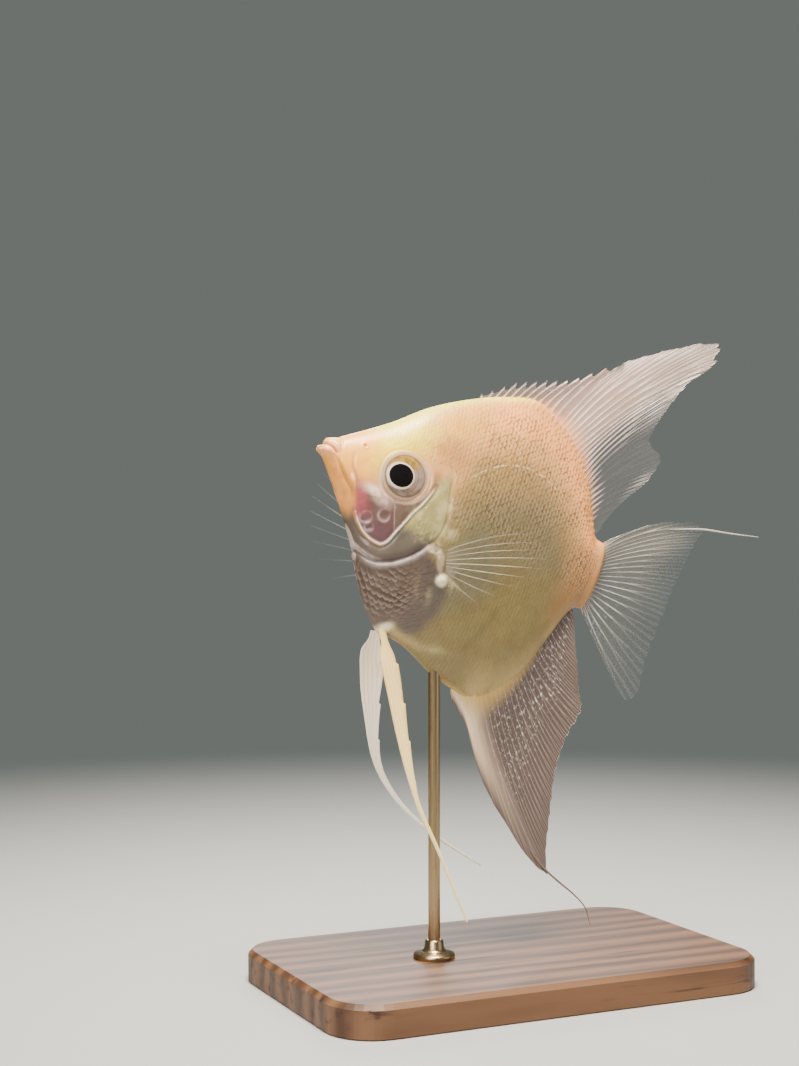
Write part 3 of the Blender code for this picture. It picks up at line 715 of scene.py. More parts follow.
def end_rings(ring, middle, bulge, count):
    """Rings that round off an open end: each is nearer to the middle and further out."""
    rings = []
    for tilt in math.pi / 2 * np.arange(1, count + 1) / count:
        nearer = middle + (ring - middle) * max(math.cos(tilt), 0.02)
        nearer[:, 0] = ring[:, 0] + bulge * math.sin(tilt)
        rings.append(nearer)
    return np.array(rings)


def make_skin(material):
    # Rings close together on the head, where the detail is, and wider apart behind it.
    stations = np.concatenate([
        np.linspace(0, 3, 28)[:-1], np.linspace(3, 40, 206)[:-1], np.linspace(40, LENGTH, 100),
    ])
    around = 340
    a, turn = np.meshgrid(stations, circle(around, 0.5), indexing="ij")
    # The skin rises to the full outline at the tail's end, where the scales run out.
    place = lambda x, y: flank(x, y, SCALE_DEPTH * ramp(x, LENGTH, LENGTH - 2.5))
    points = place(a, turn)
    points += normals(place, a, turn) * relief(points[..., 0], points[..., 1])[..., None]
    points[0, :, 0] = points[1, :, 0]
    snout = end_rings(points[0], points[0].mean(axis=0), -0.7, 6)[::-1]
    points = np.concatenate([snout, points, end_rings(points[-1], 0, 1.2, 4)])
    piece(
        "skin", to_world(points), grid_faces(len(points), around, wrap=True),
        markings(np.clip(points[..., 0], 0, LENGTH), points[..., 1]), material, "pale_gold_skin",
        "head", "lower_jaw", "gill_cover_left", "gill_cover_right", "trunk", "tail_stalk",
    )


# ---- Scales


def on_breast(a, d):
    """1 where the breast's own scales grow, which point down and aft."""
    return spot(a, d, BREAST, (11.5, 11), 0, 0.1)


def flank_sites():
    """Sites of the small scales, in columns that follow the body's outline."""
    sites = []
    fine = np.linspace(0.015 * math.pi, 0.985 * math.pi, 400)
    a, column = 12, 0
    while a < LENGTH - 1.5:
        arc = arc_length(flank(np.full(fine.shape, a), fine, SCALE_DEPTH))
        middle = np.interp(math.pi / 2, fine, arc)
        small = 0.8 + 0.2 * float(ramp(a, 22, 36)) - 0.25 * float(ramp(a, 70, 80))
        spacing = 1.6 * small
        first = -math.floor(middle / spacing) + 0.5 * (column % 2)
        levels = middle + spacing * np.arange(first, (arc[-1] - middle) / spacing)
        levels = levels[(levels > 0.2) & (levels < arc[-1] - 0.2)]
        sites += [(a, turn, 1.45 * small, spacing, 0) for turn in np.interp(levels, arc, fine)]
        a += 1 * small
        column += 1
    sites = np.array(sites)
    return sites[on_breast(sites[:, 0], flank(sites[:, 0], sites[:, 1])[:, 1]) < 0.5]


def breast_sites():
    """Sites of the larger scales of the breast, in slanted rows."""
    heading, pitch, spacing = math.radians(52), 1.02, 1.85
    row, place = np.meshgrid(np.arange(-14, 15), np.arange(-8, 9), indexing="ij")
    ahead, across = pitch * row, spacing * (place + 0.5 * (row % 2))
    a = BREAST[0] + ahead * math.cos(heading) + across * math.sin(heading)
    d = BREAST[1] - ahead * math.sin(heading) + across * math.cos(heading)
    inside = (on_breast(a, d) > 0.5) & (d > smooth(a, BELLY) + 0.5) & (d < smooth(a, BACK))
    a, d = a[inside], d[inside]
    return np.stack(np.broadcast_arrays(a, turn_at(a, d), 1.45, spacing, heading), axis=1)


def has_scale(a, d):
    """Where scales grow: not on the jaws, snout, cheek, eye, gill slit or fleshy fin roots."""
    behind, share = gill_side(a, d)
    cheek, _ = near_line(a, d, CHEEK_EDGE)
    clear = (eye_ring(a, d) > 7.4) & (np.abs(cheek) > 0.9) & (a > 17 - 0.55 * d)
    clear |= (behind > 0.5) & (d < -15)
    clear &= (np.abs(behind - 0.3) > 0.9) | (share < 0.3)
    clear &= ~((behind < 1.6) & (d < -11) & (a < 34))
    clear &= ~((behind < 0) & (share < 0.45) & (d < 8))
    bare = (PAD, (2.2, 3.8), PAD_TILT), (KNOB, (2.4, 2.4), 0), (PELVIC_KNOB, (2.2, 1.6), 35)
    for oval in bare:
        clear &= spot(a, d, *oval, 0.1) < 0.5
    return clear


def make_scales(material, side, sign):
    """One flank's coat. A site is (a, turn, length, width, heading); heading 0 is aft and + is down."""
    sites = np.concatenate([flank_sites(), breast_sites()])
    sites = sites[has_scale(sites[:, 0], flank(sites[:, 0], sites[:, 1])[:, 1])]
    a0, turn0, length, width, heading = sites.T[..., None, None]
    jitter = RANDOM.normal(0, 0.12, (len(sites), 2)).T[..., None, None] * np.where(heading > 0, 1.5, 1)
    tone = RANDOM.random(len(sites))[:, None, None]
    strength = scale_strength(a0, flank(a0, turn0)[..., 1])
    # One scale: u runs from its root to its free edge, v from side to side; its lip turns down into the skin.
    u, v = np.meshgrid([-0.3, 0.2, 0.5, 0.75, 0.92, 1, 1], np.linspace(-1, 1, 7), indexing="ij")
    lip = np.zeros(u.shape)
    lip[-1] = 1
    reach = u * (1 - 0.36 * v**2 * ramp(u, 0, 1)) - 0.03 * lip
    spread = v * np.sqrt(np.clip(1 - 0.3 * (u - 0.3) ** 2, 0.4, 1))
    # Surface steps per mm down the flank, at each scale's root.
    place = lambda x, y: flank(x, y, SCALE_DEPTH)
    down = np.linalg.norm(place(a0, turn0 + 1e-3) - place(a0, turn0 - 1e-3), axis=-1) / 2e-3
    ahead = reach * length + jitter[0]
    across = spread * width * 0.56 + jitter[1]
    at = np.clip(a0 + ahead * np.cos(heading) - across * np.sin(heading), 0, LENGTH + 1.2)
    about = turn0 + (ahead * np.sin(heading) + across * np.cos(heading)) / down
    about = np.clip(about, 0.004 * math.pi, 0.996 * math.pi)
    tall = (0.05 + 0.11 * strength) * (0.7 + 0.6 * tone) * length / 1.3
    dome = 0.06 * np.sin(math.pi * np.clip(u, 0, 1)) * (1 - v**2)
    height = np.where(lip > 0, -0.03, tall * np.clip(u, -0.35, 1) * (1 - 0.25 * v**2) + dome * strength)
    points = place(at, about)
    under = relief(points[..., 0], points[..., 1])
    points = points + normals(place, at, about) * (height + under)[..., None]
    points[..., 2] *= sign
    faces = grid_faces(*u.shape) + (np.arange(len(sites)) * u.size)[:, None, None]
    values = markings(np.clip(points[..., 0], 0, LENGTH), points[..., 1])
    values |= {"edge": np.clip(u, 0, 1), "tone": tone, "shows": strength}
    # The bake patch of each scale, at its root's place on an unwrap of the skin: one half for each side.
    patch = 0.0015
    uv = np.stack(np.broadcast_arrays(
        (0.02 if sign > 0 else 0.52) + 0.45 * a0 / LENGTH + patch * 0.9 * u,
        0.02 + 0.95 * turn0 / math.pi + patch * v,
    ), axis=-1)
    faces = faces.reshape(-1, 4)[:, ::-sign]
    piece("scales_" + side, to_world(points), faces, values, material, "pale_gold_skin", uv=uv)


# ---- Fins

# Fin margins: (share of the root, a, d), and n for the pectoral fins.
DORSAL_MARGIN = [
    (0, 34.6, 30.7), (0.03, 36.6, 32.1), (0.11, 42.2, 37), (0.19, 47.8, 40), (0.31, 56.4, 44.4),
    (0.39, 63, 49.9), (0.47, 72.6, 57.9), (0.503, 78.9, 62.9), (0.533, 89.8, 70.6), (0.56, 95.2, 72.9),
    (0.6, 96.5, 68.5), (0.67, 91.2, 60.7), (0.74, 86.9, 49.6), (0.795, 85.1, 40.7), (0.845, 90.2, 36.8),
    (0.9, 88.8, 30.3), (0.936, 84.2, 22.9), (0.969, 80.6, 15.6), (1, 79.6, 11.6),
]
ANAL_MARGIN = [
    (0, 55.6, -43.2), (0.058, 63.8, -49.1), (0.093, 69.2, -56), (0.134, 76.3, -62.6), (0.173, 84.5, -68.1),
    (0.21, 94.5, -74), (0.24, 100, -75.5), (0.309, 97, -69.5), (0.364, 95, -63.4), (0.426, 93, -56),
    (0.484, 91.5, -49.2), (0.57, 90.8, -41.5), (0.656, 92.2, -33.3), (0.739, 89.6, -28.5),
    (0.835, 86.5, -22.8), (0.919, 83.7, -17), (1, 81.4, -11.6),
]
CAUDAL_MARGIN = [
    (0, 84.4, 11.4), (0.05, 90.2, 16), (0.1, 98.4, 22.4), (0.14, 106, 25.2), (0.18, 109.6, 24.9),
    (0.26, 108.5, 21.8), (0.36, 107.3, 16.8), (0.5, 107.1, 9.5), (0.64, 106.6, 0.5), (0.76, 106.6, -10),
    (0.86, 107.3, -21.9), (0.91, 103.9, -25.9), (0.955, 95, -18.6), (1, 85, -10.9),
]
PECTORAL_MARGINS = {
    "left": [
        (0, 52.2, 1.2, 18), (0.12, 56.4, -0.2, 19), (0.25, 58.9, -1.7, 20), (0.42, 59.6, -4.8, 20.5),
        (0.56, 58.7, -8.6, 20.5), (0.68, 56.4, -12.1, 19.5), (0.8, 53, -16.6, 18), (0.9, 50, -20.2, 16.5),
        (1, 46.5, -22.9, 14),
    ],
    "right": [
        (0, 15.6, 3.5, 20), (0.15, 11.9, 0.1, 24), (0.3, 11, -4, 25), (0.5, 12.6, -10.5, 26),
        (0.7, 15.8, -16.8, 26), (0.85, 19.6, -21.8, 25), (1, 26.5, -26.5, 22),
    ],
}
# Middle lines of the long fins and threads: (a, d, n, half width).
PELVIC_RIBBONS = {
    "left": [
        (32.2, -36.4, 2.1, 0.9), (35.4, -41.2, 3, 2.2), (38.8, -46.4, 3.7, 2.15), (44.2, -55.5, 4.8, 1.75),
        (49.6, -64.3, 5.9, 1.15), (53.6, -70, 6.4, 0.68), (63.9, -79.7, 6.7, 0.5), (77.9, -93.2, 7, 0.38),
    ],
    "right": [
        (31.4, -36.6, 2.1, 1.5), (32.2, -40, 3.1, 2.9), (34.9, -45.4, 4.2, 3.05), (39.4, -54.3, 5.2, 2.1),
        (45.1, -63.5, 6.1, 1.2), (50.5, -68.4, 6.7, 0.78), (60.7, -73.7, 7.1, 0.55), (72.7, -77, 7.3, 0.45),
        (84.4, -79, 7.5, 0.36),
    ],
}
CAUDAL_STREAMER = [
    (99, 20.4, 0.45, 0.08), (104, 22.6, 0.55, 0.2), (109, 24.6, 0.65, 0.26), (117, 26.8, 0.9, 0.2),
    (125.8, 29.4, 1.5, 0.07),
]
ANAL_STREAMER = [
    (90, -69.5, -0.7, 0.1), (97, -73.6, -0.8, 0.3), (104.6, -76.2, -0.9, 0.26), (108.3, -77.2, -1.1, 0.22),
    (114.1, -79.6, -1.4, 0.16), (117.8, -83.6, -1.8, 0.08),
]
OUTWARD = np.array((0, 0, 1))
# Where each ray forks for the first and the second time, as ramps along it, and how far its twigs part.
FIRST_FORK, SECOND_FORK = (0.34, 0.72), (0.66, 1)
FIRST_PART, SECOND_PART = 0.25, 0.12


def ray_distance(index, along):
    """Distance from the nearest ray or branch, in ray spacings: each ray forks twice on its way out."""
    middle = np.abs(index % 1 - 0.5)
    fork = np.abs(middle - FIRST_PART * ramp(along, *FIRST_FORK))
    return np.abs(fork - SECOND_PART * ramp(along, *SECOND_FORK))


def columns(spines, rays, split, per_ray):
    """Shares along the root and the ray number at each: spines up to the split, then soft rays."""
    total = spines + rays
    index = np.linspace(0, total, total * per_ray + 1)
    shares = np.interp(index, (0, spines, total), (0, split, 1)) if spines else index / total
    return shares, np.clip(index, 0, total - 1e-6)


def root_on(profile, span, inside, shares):
    """Points just inside the body's edge, spaced evenly along it."""
    a = np.linspace(*span, 400)
    length = arc_length(np.stack([a, smooth(a, profile)], axis=1))
    at = np.interp(shares, length / length[-1], a)
    slope = (smooth(at + 0.2, profile) - smooth(at - 0.2, profile)) / 0.4
    scale = inside / np.hypot(1, slope)
    return np.stack([at + slope * scale, smooth(at, profile) - scale, 0 * at], axis=1)


def margin_points(margin, shares, lean):
    a, d = smooth(shares, margin, 1), smooth(shares, margin, 2)
    return np.stack([a, d, lean * np.sin(2 * math.pi * shares)], axis=1)


def streamer_tube(knots, around=8, count=40):
    """A tapering thread that grows out of a fin's longest ray."""
    line = resampled(knots, count)
    side = np.cross(unit(np.gradient(line[:, :3], axis=0)), OUTWARD)[:, None]
    turn = circle(around)[:, None]
    points = line[:, None, :3] + line[:, 3, None, None] * (np.cos(turn) * side + 0.7 * np.sin(turn) * OUTWARD)
    return points.reshape(-1, 3), grid_faces(count, around, wrap=True)


def fin_blade(
    name, root, edge, index, material, nodes, clear, solid, glitter, flesh, front=lambda s: 0 * s, steps=56,
    spines=0, saw=0, fringe=0.35, ragged=9, bow=(0, 0), ripple=0.25, forks=1, ridge=0.13, thick=0.7,
    streamer=None,
):
    """A closed thin fin: rays as ridges that fork, membrane between them, and a fleshy root.

    A spine stands at the front of its own stretch of membrane, which slopes down behind its tip. clear,
    solid, glitter and front give the looks from the shares along the root (s) and out along the ray (t).
    """
    rays, size = len(root), len(root) * steps
    shares, along = np.linspace(0, 1, rays), np.linspace(0, 1, steps) ** 0.9
    s, t = shares[:, None], along[None]
    reach = edge - root
    length = np.linalg.norm(reach, axis=1)
    # Soft rays end a little apart, more so at the ragged place; spines stand clear of the membrane.
    torn = RANDOM.random(int(index[-1]) + 2)[index.astype(int)]
    spiny = index < spines
    between = 1 - bell(index % 1 - 0.5, 0.22)
    fringe = fringe * (0.4 + 1.2 * torn) * between * (1 + 4 * bell(shares - ragged, 0.08))
    short = np.where(spiny, saw * (index % 1) ** 0.7, fringe)
    reach = reach * (1 - np.minimum(short / length, 0.4))[:, None]
    sideways = np.stack([-reach[:, 1], reach[:, 0], 0 * length], axis=1)
    bend = np.interp(shares, (0, 1), bow)[:, None] * 4 * t * (1 - t)
    sheet = root[:, None] + reach[:, None] * t[..., None] + sideways[:, None] * bend[..., None]
    normal = unit(np.cross(np.gradient(sheet, axis=0), np.gradient(sheet, axis=1)))
    wave = ripple * (np.sin(index * 0.9) * np.clip(length / 25, 0, 1))[:, None] * t**2
    sheet = sheet + normal * wave[..., None]
    ray = (index + np.where(spiny, 0.34, 0))[:, None]
    branch = np.where(spiny[:, None], 0, t) * forks
    half = 0.05 + ridge * bell(ray_distance(ray, branch), 0.16) * (1 - 0.6 * t)
    half = half + thick * np.clip(1 - t / 0.3, 0, 1) ** 2
    points = np.concatenate([sheet + side * normal * half[..., None] for side in (1, -1)]).reshape(-1, 3)
    quads, grid = grid_faces(rays, steps), np.arange(size).reshape(rays, steps)
    rim = np.concatenate([grid[:, 0], grid[-1, 1:], grid[-2::-1, -1], grid[0, -2:0:-1]])
    after = np.roll(rim, -1)
    faces = [quads, quads[:, ::-1] + size, np.stack([rim, size + rim, size + after, after], axis=1)]
    out = length[:, None] * t
    values = {
        "ray": ray, "branch": branch, "along": t, "reach": out, "clear": clear(s, t), "solid": solid(s, t),
        "glitter": glitter(s, t), "pale": ramp(out, np.minimum(flesh, 0.55 * length)[:, None], 0),
        "lead": front(s) * ramp(t, 1, 0.5),
    }
    for key, value in values.items():
        values[key] = np.tile(np.broadcast_to(value, grid.shape).ravel(), 2)
    if streamer:
        tube, tube_faces = streamer_tube(streamer)
        faces.append(tube_faces + len(points))
        points = np.concatenate([points, tube])
        plain = {"ray": 0.5, "along": 0.6, "reach": 30, "clear": 0.95, "solid": 1}
        for key, value in values.items():
            values[key] = np.append(value, np.full(len(tube), plain.get(key, 0)))
    piece(name, to_world(points), np.concatenate(faces), values, material, "clear_white_fin", *nodes)


def fin_material(name, ray_colour, web_colour, root_colour, front_colour, widths):
    """White rays with fine branches over a clear membrane; the joints of some rays glint."""
    nodes = Nodes(name)
    branch = nodes["branch"]
    middle = abs(nodes.math("FRACT", nodes["ray"]) - 0.5)
    fork = abs(middle - branch.ramp(*FIRST_FORK) * FIRST_PART)
    twig = abs(fork - branch.ramp(*SECOND_FORK) * SECOND_PART)
    width = nodes["along"].blend(*widths)
    line = twig.ramp(width, width * 0.3) * nodes.fibres(1.7, 0.13).ramp(0.3, 0.62).blend(0.55, 1)
    glint = nodes.fibres(3.4, 0.85).ramp(0.55, 0.68) * line.blend(0.45, 1) * nodes["glitter"]
    colour = painted(
        line.mix(web_colour, ray_colour),
        (glint, (1, 0.96, 0.9)),
        (nodes["lead"] * 0.85, front_colour),
        (nodes["pale"] * 0.9, root_colour),
    )
    web = nodes["clear"] * nodes.fibres(2.6, 0.16).blend(0.62, 1.3)
    alpha = nodes.math("MAXIMUM", nodes.math("MAXIMUM", line * nodes["solid"], web), glint, clamp=True)
    nodes.bump(line + glint * 0.8, 0.1, 0.7)
    return nodes.finish(base_color=colour, roughness=0.35, alpha=alpha, coat_weight=0.2, coat_roughness=0.2)


def make_dorsal_fin():
    material = fin_material("dorsal_fin_skin", (1, 0.91, 0.8), (0.76, 0.48, 0.36), (1, 0.46, 0.22),
                            (1, 0.8, 0.7), (0.26, 0.105))
    shares, index = columns(*DORSAL_RAYS, 0.45, 8)
    fin_blade(
        "dorsal_blade", root_on(BACK, DORSAL_ROOT, 0.9, shares), margin_points(DORSAL_MARGIN, shares, 0.8),
        index, material, ["dorsal_fin"],
        clear=lambda s, t: 0.02 + (0.44 + 0.34 * t) * ramp(s, 0.65, 0.46, 0.15, 0.4)
        + 0.4 * ramp(t, 0.14, 0) + 0.15 * ramp(s, 0.36, 0.2),
        solid=lambda s, t: 0.02 + 0.98 * np.maximum(ramp(s, 0.74, 0.6), ramp(t, 0.3, 0.05))
        + 0.25 * bell(s - 0.88, 0.03) * ramp(t, 0.6, 0.95),
        glitter=lambda s, t: 0.3 * ramp(s, 0.3, 0.5, 0.7, 0.55),
        flesh=6.5, spines=DORSAL_RAYS[0], saw=3.9, fringe=0.55, ragged=0.57, bow=(0.03, 0.05), ripple=0.3,
        thick=0.75,
    )


def make_anal_fin():
    material = fin_material("anal_fin_skin", (0.235, 0.165, 0.13), (0.09, 0.06, 0.048), (0.6, 0.37, 0.09),
                            (0.9, 0.66, 0.42), (0.14, 0.06))
    shares, index = columns(*ANAL_RAYS, 0.17, 8)
    fin_blade(
        "anal_blade", root_on(BELLY, ANAL_ROOT, -2.3, shares), margin_points(ANAL_MARGIN, shares, -0.8),
        index, material, ["anal_fin"],
        clear=lambda s, t: 0.95 + 0.12 * ramp(s, 0.28, 0.05) + 0.24 * ramp(t, 0.22, 0)
        + 0.6 * ramp(t, 0.35, 0.7),
        solid=lambda s, t: 0.85 + 0.15 * np.maximum(ramp(s, 0.4, 0.2), ramp(t, 0.4, 0.7)),
        glitter=lambda s, t: 0.62 * ramp(s, 0.2, 0.32) * ramp(t, 0.8, 0.5, 0.04, 0.14),
        flesh=np.interp(shares, (0, 0.3, 0.8), (10, 7.5, 2.5)), front=lambda s: ramp(s, 0.3, 0.08),
        spines=ANAL_RAYS[0], saw=0.5, fringe=0.4, bow=(-0.03, -0.04), ripple=0.3, thick=1.5,
        streamer=ANAL_STREAMER,
    )


def make_caudal_fin():
    material = fin_material("caudal_fin_skin", (0.64, 0.585, 0.49), (0.2, 0.18, 0.145), (0.7, 0.42, 0.24),
                            (0.5, 0.45, 0.4), (0.16, 0.1))
    shares, index = columns(0, 24, 0, 10)
    root = np.stack([np.full(len(shares), LENGTH - 1), 8.6 - 16.8 * shares, 0 * shares], axis=1)
    fin_blade(
        "caudal_blade", root, margin_points(CAUDAL_MARGIN, shares, 0.8), index, material, ["caudal_fin"],
        clear=lambda s, t: 0.03 + (0.45 * ramp(s, 0.75, 0.1) + 0.07) * ramp(t, 1, 0.45)
        + 0.25 * ramp(t, 0.25, 0),
        solid=lambda s, t: 0.03 + 0.82 * ramp(t, 1 - 0.45 * s, 0.38 - 0.24 * s) + 0.15 * ramp(s, 0.14, 0.04),
        glitter=lambda s, t: 0.75 * ramp(s, 0.2, 0.5) * ramp(t, 0.62, 0.25, 0.03, 0.1),
        flesh=4.5, fringe=0.5, bow=(0.07, -0.03), ripple=0.35, forks=0.85, thick=1.1,
        streamer=CAUDAL_STREAMER,
    )


def make_pectoral_fins():
    material = fin_material("pectoral_fin_skin", (0.56, 0.49, 0.33), (0.4, 0.37, 0.3), (0.62, 0.46, 0.32),
                            (0.7, 0.6, 0.5), (0.115, 0.03))
    shares, index = columns(0, 9, 0, 14)
    first, last = np.array((36.6, -11.2, 8.1)), np.array((39.2, -17.2, 8.1))
    for side, sign in SIDES.items():
        root = first + (last - first) * shares[:, None]
        edge = np.stack([smooth(shares, PECTORAL_MARGINS[side], k) for k in (1, 2, 3)], axis=1)
        fin_blade(
            "pectoral_blade_" + side, root * (1, 1, sign), edge * (1, 1, sign), index, material,
            ["pectoral_fin_" + side],
            clear=lambda s, t: 0.1 * ramp(t, 0.2, 0),
            solid=lambda s, t: (0.03 + 0.6 * ramp(t, 1, 0.3 - 0.3 * s)) * (1 - 0.7 * ramp(s, 0.5, 0.9))
            * (0.8 + 0.2 * np.cos(13 * s)) * (1 if sign > 0 else 1.5),
            glitter=lambda s, t: 0,
            flesh=2.5, bow=(0.07, -0.05), ripple=0.12, steps=40, forks=0, ridge=0.07, thick=0.4,
        )


def ribbon_material(name, colour, tip):
    nodes = Nodes(name)
    between = (1 - nodes["fold"].ramp(0.25, 0.8)) * 0.45
    colour = painted(nodes["along"].mix(colour, tip), (between, (0.84, 0.7, 0.56), "MULTIPLY"))
    nodes.bump(nodes.noise(1.6, 3, (1, 1, 0.2)), 0.05, 0.4)
    return nodes.finish(
        base_color=colour, roughness=0.4, coat_weight=0.2, coat_roughness=0.2, subsurface_weight=0.2,
        subsurface_scale=1 * MM,
    )


def make_pelvic_fins():
    """Each pelvic fin is a spine and five rays folded into a long ribbon that ends in a thread."""
    finishes = {
        "left": ribbon_material("pelvic_cream", (1, 0.7, 0.26), (1, 0.78, 0.38)),
        # The far fin is paler than the near one: painted light that offsets the body's shade on it.
        "right": ribbon_material("pelvic_far_painted_light", (1, 0.88, 0.74), (1, 0.9, 0.72)),
    }
    around, count = 40, 150
    share, turn = np.linspace(0, 1, count)[:, None], circle(around)
    ridges = 0.5 + 0.5 * np.cos(5 * math.pi * np.cos(turn))
    # The rear edge narrows in steps, where one ray after another ends.
    step = 1.1 - 0.26 * (8 * share % 1)
    for side, sign in SIDES.items():
        knots = np.array(PELVIC_RIBBONS[side])
        before = knots[0] + (knots[0] - knots[1]) * (0.45, 0.45, 0.3, 0)
        line = resampled([before, *knots], count)
        half = line[:, 3:] * (1 - 0.25 * share**4)
        along = unit(np.gradient(line[:, :3], axis=0))
        across = unit(np.cross(along, OUTWARD))
        face = np.cross(across, along)
        wide = ramp(half, 0.5, 1.4)
        reach = np.where(np.cos(turn) < 0, 1 + (step - 1) * wide, 1) * half
        thin = np.clip(half * 0.5, 0.14, 0.42) * (1 - 0.4 * wide * (1 - ridges))
        curl = 0.28 * wide * half * np.cos(turn) ** 2
        points = line[:, None, :3] + (reach * np.cos(turn))[..., None] * across[:, None]
        points = points + (thin * np.sin(turn) - curl)[..., None] * face[:, None]
        values = {"fold": ridges * wide + (1 - wide), "along": share}
        faces = grid_faces(count, around, wrap=True)[:, ::sign]
        piece("pelvic_ribbon_" + side, to_world(points * (1, 1, sign)), faces, values, finishes[side],
              "cream_pelvic_fin", "pelvic_fin_" + side)


# ---- Eyes


def eye_material():
    nodes = Nodes("eye")
    pupil, ring, rise, fore = (nodes[name] for name in ("pupil", "ring", "rise", "fore"))
    brown = nodes.noise(0.45, 3).ramp(0.35, 0.65).mix((0.12, 0.085, 0.06), (0.24, 0.175, 0.125))
    # The iris's rear part is lighter: in part its own beige and in part a painted sheen.
    rear_tint_and_sheen = fore.ramp(0.2, -0.6) * ring.ramp(4.9, 4.2) * nodes.noise(0.3, 2).ramp(0.2, 0.7)
    gold = rise.ramp(0.2, 0.75) * pupil.ramp(3.1, 3.7)
    olive = nodes.noise(0.9, 3).ramp(0.4, 0.6).mix((0.34, 0.19, 0.012), (0.17, 0.1, 0.025))
    silver = pupil.ramp(2.95, 3.1) * pupil.ramp(fore.blend(3.72, 4), 3.4)
    crescent = abs(ring - fore.blend(4.25, 5.2)).ramp(0.22, 0.06) * fore.ramp(0.1, -0.4)
    colour = painted(
        brown,
        (rear_tint_and_sheen, (0.32, 0.215, 0.14)),
        (gold * 0.92, olive),
        (silver * fore.blend(0.85, 0.97), (0.68, 0.55, 0.45)),
        (ring.ramp(4.75, 5.1) * rise.blend(0.8, 0.65), (0.15, 0.085, 0.045)),
        (ring.ramp(5.15, 5.4), (0.42, 0.27, 0.17)),
        (crescent * 0.6, (0.13, 0.07, 0.05)),
        (pupil.ramp(3.12, 3), (0.003, 0.002, 0.002)),
    )
    return nodes.finish(
        base_color=colour, roughness=0.22, coat_weight=0.5, coat_roughness=0.03, specular_ior_level=0.3
    )


def make_eyes():
    """Each eye is a low dome, level with the skin round it, over a body hidden in the socket."""
    material = eye_material()
    around, rings, hidden = 112, 60, 12
    (a, d), e = EYE, 0.5
    slope_a = (side_at(a + e, d) - side_at(a - e, d)) / (2 * e)
    slope_d = (side_at(a, d + e) - side_at(a, d - e)) / (2 * e)
    out, back = unit(np.array((-slope_a, -slope_d, 1))), unit(np.array((1, 0, slope_a)))
    up = np.cross(out, back)
    front, under = np.linspace(0.02, 1, rings - hidden), np.linspace(0.1, 1.5, hidden)
    radius = EYE_RADIUS * np.concatenate([front, np.cos(under)])[:, None]
    height = np.concatenate([1.15 * (1 - front**2), -2.6 * np.sin(under)])[:, None, None] - 0.15
    x, y = radius * np.cos(circle(around)), radius * np.sin(circle(around))
    centre = np.array((a, d, float(side_at(a, d)) - SCALE_DEPTH))
    points = centre + x[..., None] * back + y[..., None] * up + height * out
    values = {
        "pupil": np.hypot(x + 1.1, (y + 0.42) * 1.08),
        "ring": radius,
        "rise": (y * 0.93 - x * 0.36) / radius,
        "fore": (-x * 0.93 - y * 0.36) / radius,
    }
    for side, sign in SIDES.items():
        faces = grid_faces(rings, around, wrap=True)[:, ::-sign]
        placed = to_world(points * (1, 1, sign))
        piece("eye_surface_" + side, placed, faces, values, material, "silver_eye", "eye_" + side)


# ---- Stand, light and camera


def wood_material():
    nodes = Nodes("walnut")
    inputs = {"Vector": nodes.place((4, 30, 30)), "Scale": 1.3, "Distortion": 6, "Detail": 4}
    rings = nodes.add("TexWave", "Fac", inputs, bands_direction="Y")
    pores = nodes.noise(0.5, 4, (0.06, 1, 1))
    plain = rings.mix((0.055, 0.024, 0.011), (0.14, 0.066, 0.03))
    colour = painted(plain, (pores.ramp(0.55, 0.72), (0.03, 0.014, 0.007)))
    nodes.bump(pores, 0.15, 0.25)
    return nodes.finish(base_color=colour, roughness=pores.blend(0.42, 0.58), specular_ior_level=0.3)


def brass_material():
    nodes = Nodes("brass")
    brushed = nodes.noise(1.5, 3, (1, 1, 0.05))
    nodes.bump(brushed, 0.02, 0.3)
    colour = brushed.mix((0.3, 0.21, 0.11), (0.44, 0.32, 0.18))
    return nodes.finish(base_color=colour, roughness=brushed.blend(0.22, 0.36), metallic=1)


def make_stand():
    """The frame's own base and rod in wood and brass, and a turned collar where they meet."""
    wood, brass = wood_material(), brass_material()
    for node, material in (("stand_base", wood), ("stand_rod", brass)):
        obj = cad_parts[node]
        obj.data.materials.clear()
        obj.data.materials.append(material)
    low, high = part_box("stand_rod")
    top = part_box("stand_base")[1].z
    # The collar's profile in mm: (radius, height over the base).
    profile = [(1.55, 0), (5.2, 0), (5.2, 0.9), (4.9, 1.3), (3.2, 1.7), (2.5, 2.4), (2.3, 4.2), (2, 4.6),
               (1.55, 4.6)]
    radius, height = np.array(profile).T[..., None] * MM
    around = 48
    turn = circle(around)
    x, y = (low.x + high.x) / 2 + radius * np.cos(turn), (low.y + high.y) / 2 + radius * np.sin(turn)
    points = np.stack(np.broadcast_arrays(x, y, top + height), axis=-1)
    piece("rod_collar", points, grid_faces(len(profile), around, wrap=True), {}, brass, "brass_rod")


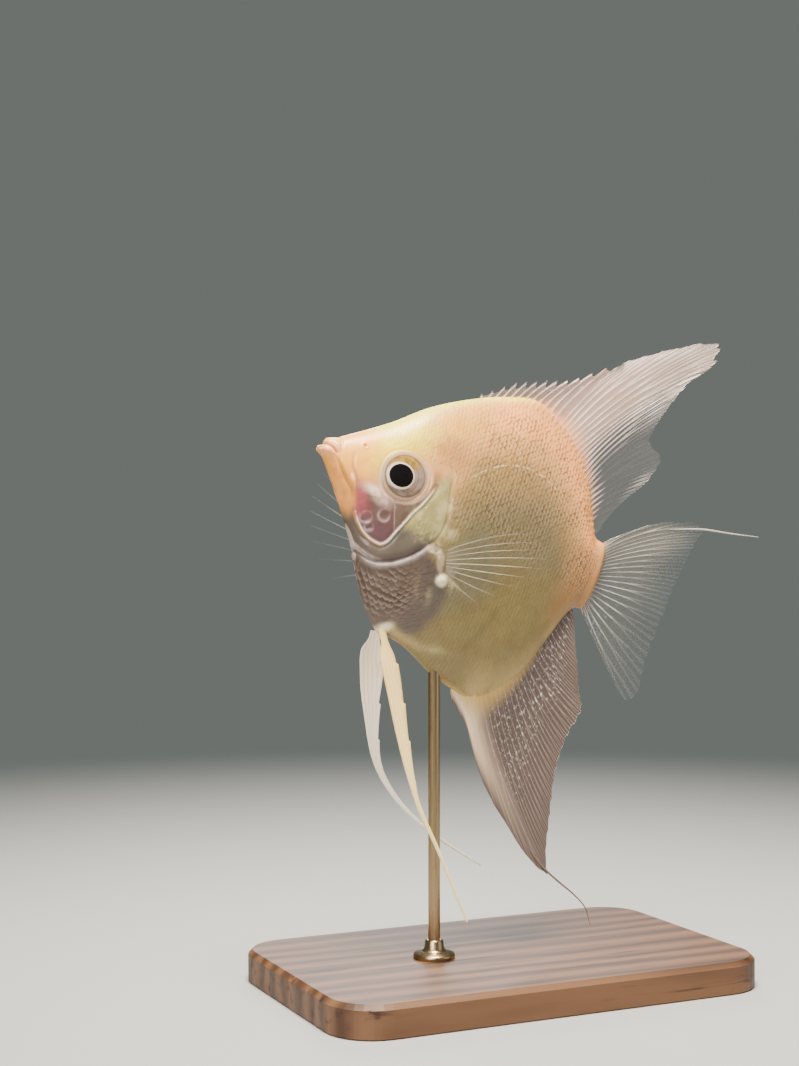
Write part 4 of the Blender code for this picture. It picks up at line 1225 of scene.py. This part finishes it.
def make_stage():
    nodes = Nodes("pale_floor")
    away = nodes.add("VectorMath", "Value", {0: nodes.add("TexCoord", "Object", {})}, operation="LENGTH")
    bpy.ops.mesh.primitive_circle_add(vertices=96, radius=1.5, fill_type="NGON", location=(0, 0, 0))
    floor = bpy.context.object
    floor.name = "floor"
    floor.data.materials.append(
        nodes.finish(base_color=(0.36, 0.355, 0.34), roughness=0.8, alpha=away.ramp(0.5, 0.06))
    )
    world = bpy.data.worlds.new("studio")
    bpy.context.scene.world = world
    world.use_nodes = True
    sky = world.node_tree.nodes["Background"]
    sky.inputs["Color"].default_value = (0.29, 0.32, 0.3, 1)
    sky.inputs["Strength"].default_value = 0.52


def soft_light(name, place, size, power, colour=(1, 1, 1)):
    """A round area light, placed in metres, that faces the fish's middle."""
    middle = Vector((0, 0, 0.11))
    data = bpy.data.lights.new(name, "AREA")
    data.shape = "DISK"
    data.size, data.energy, data.color = size, power, colour
    obj = placed(name, data)
    obj.location = place
    obj.rotation_euler = (middle - Vector(place)).to_track_quat("-Z", "Y").to_euler()


def make_lights():
    soft_light("top_light", (-0.08, -0.16, 0.8), 0.35, 26.5, (1, 0.93, 0.84))
    soft_light("key_light", (-0.6, -0.55, 0.4), 0.45, 7)
    soft_light("fill_light", (0.6, -0.55, 0.25), 0.6, 1)
    soft_light("rim_light", (0.25, 0.65, 0.45), 0.4, 4)


def make_camera():
    """The photo's view: level, a little in front of the fish's left side."""
    yaw = math.radians(25)
    aim = Vector((SNOUT[0] + 20.8, 0, SNOUT[1] - 20.3)) * MM
    away = 0.4376
    data = bpy.data.cameras.new("camera")
    data.lens = 60
    data.sensor_width = 36
    data.clip_start = 0.01
    camera = placed("camera", data)
    camera.location = aim - away * Vector((math.sin(yaw), math.cos(yaw), 0))
    camera.rotation_euler = (math.pi / 2, 0, -yaw)
    bpy.context.scene.camera = camera


make_skin(skin_material())
scales = scale_material()
for side_name, side_sign in SIDES.items():
    make_scales(scales, side_name, side_sign)
make_dorsal_fin()
make_anal_fin()
make_caudal_fin()
make_pectoral_fins()
make_pelvic_fins()
make_eyes()
make_stand()
make_stage()
make_lights()
make_camera()
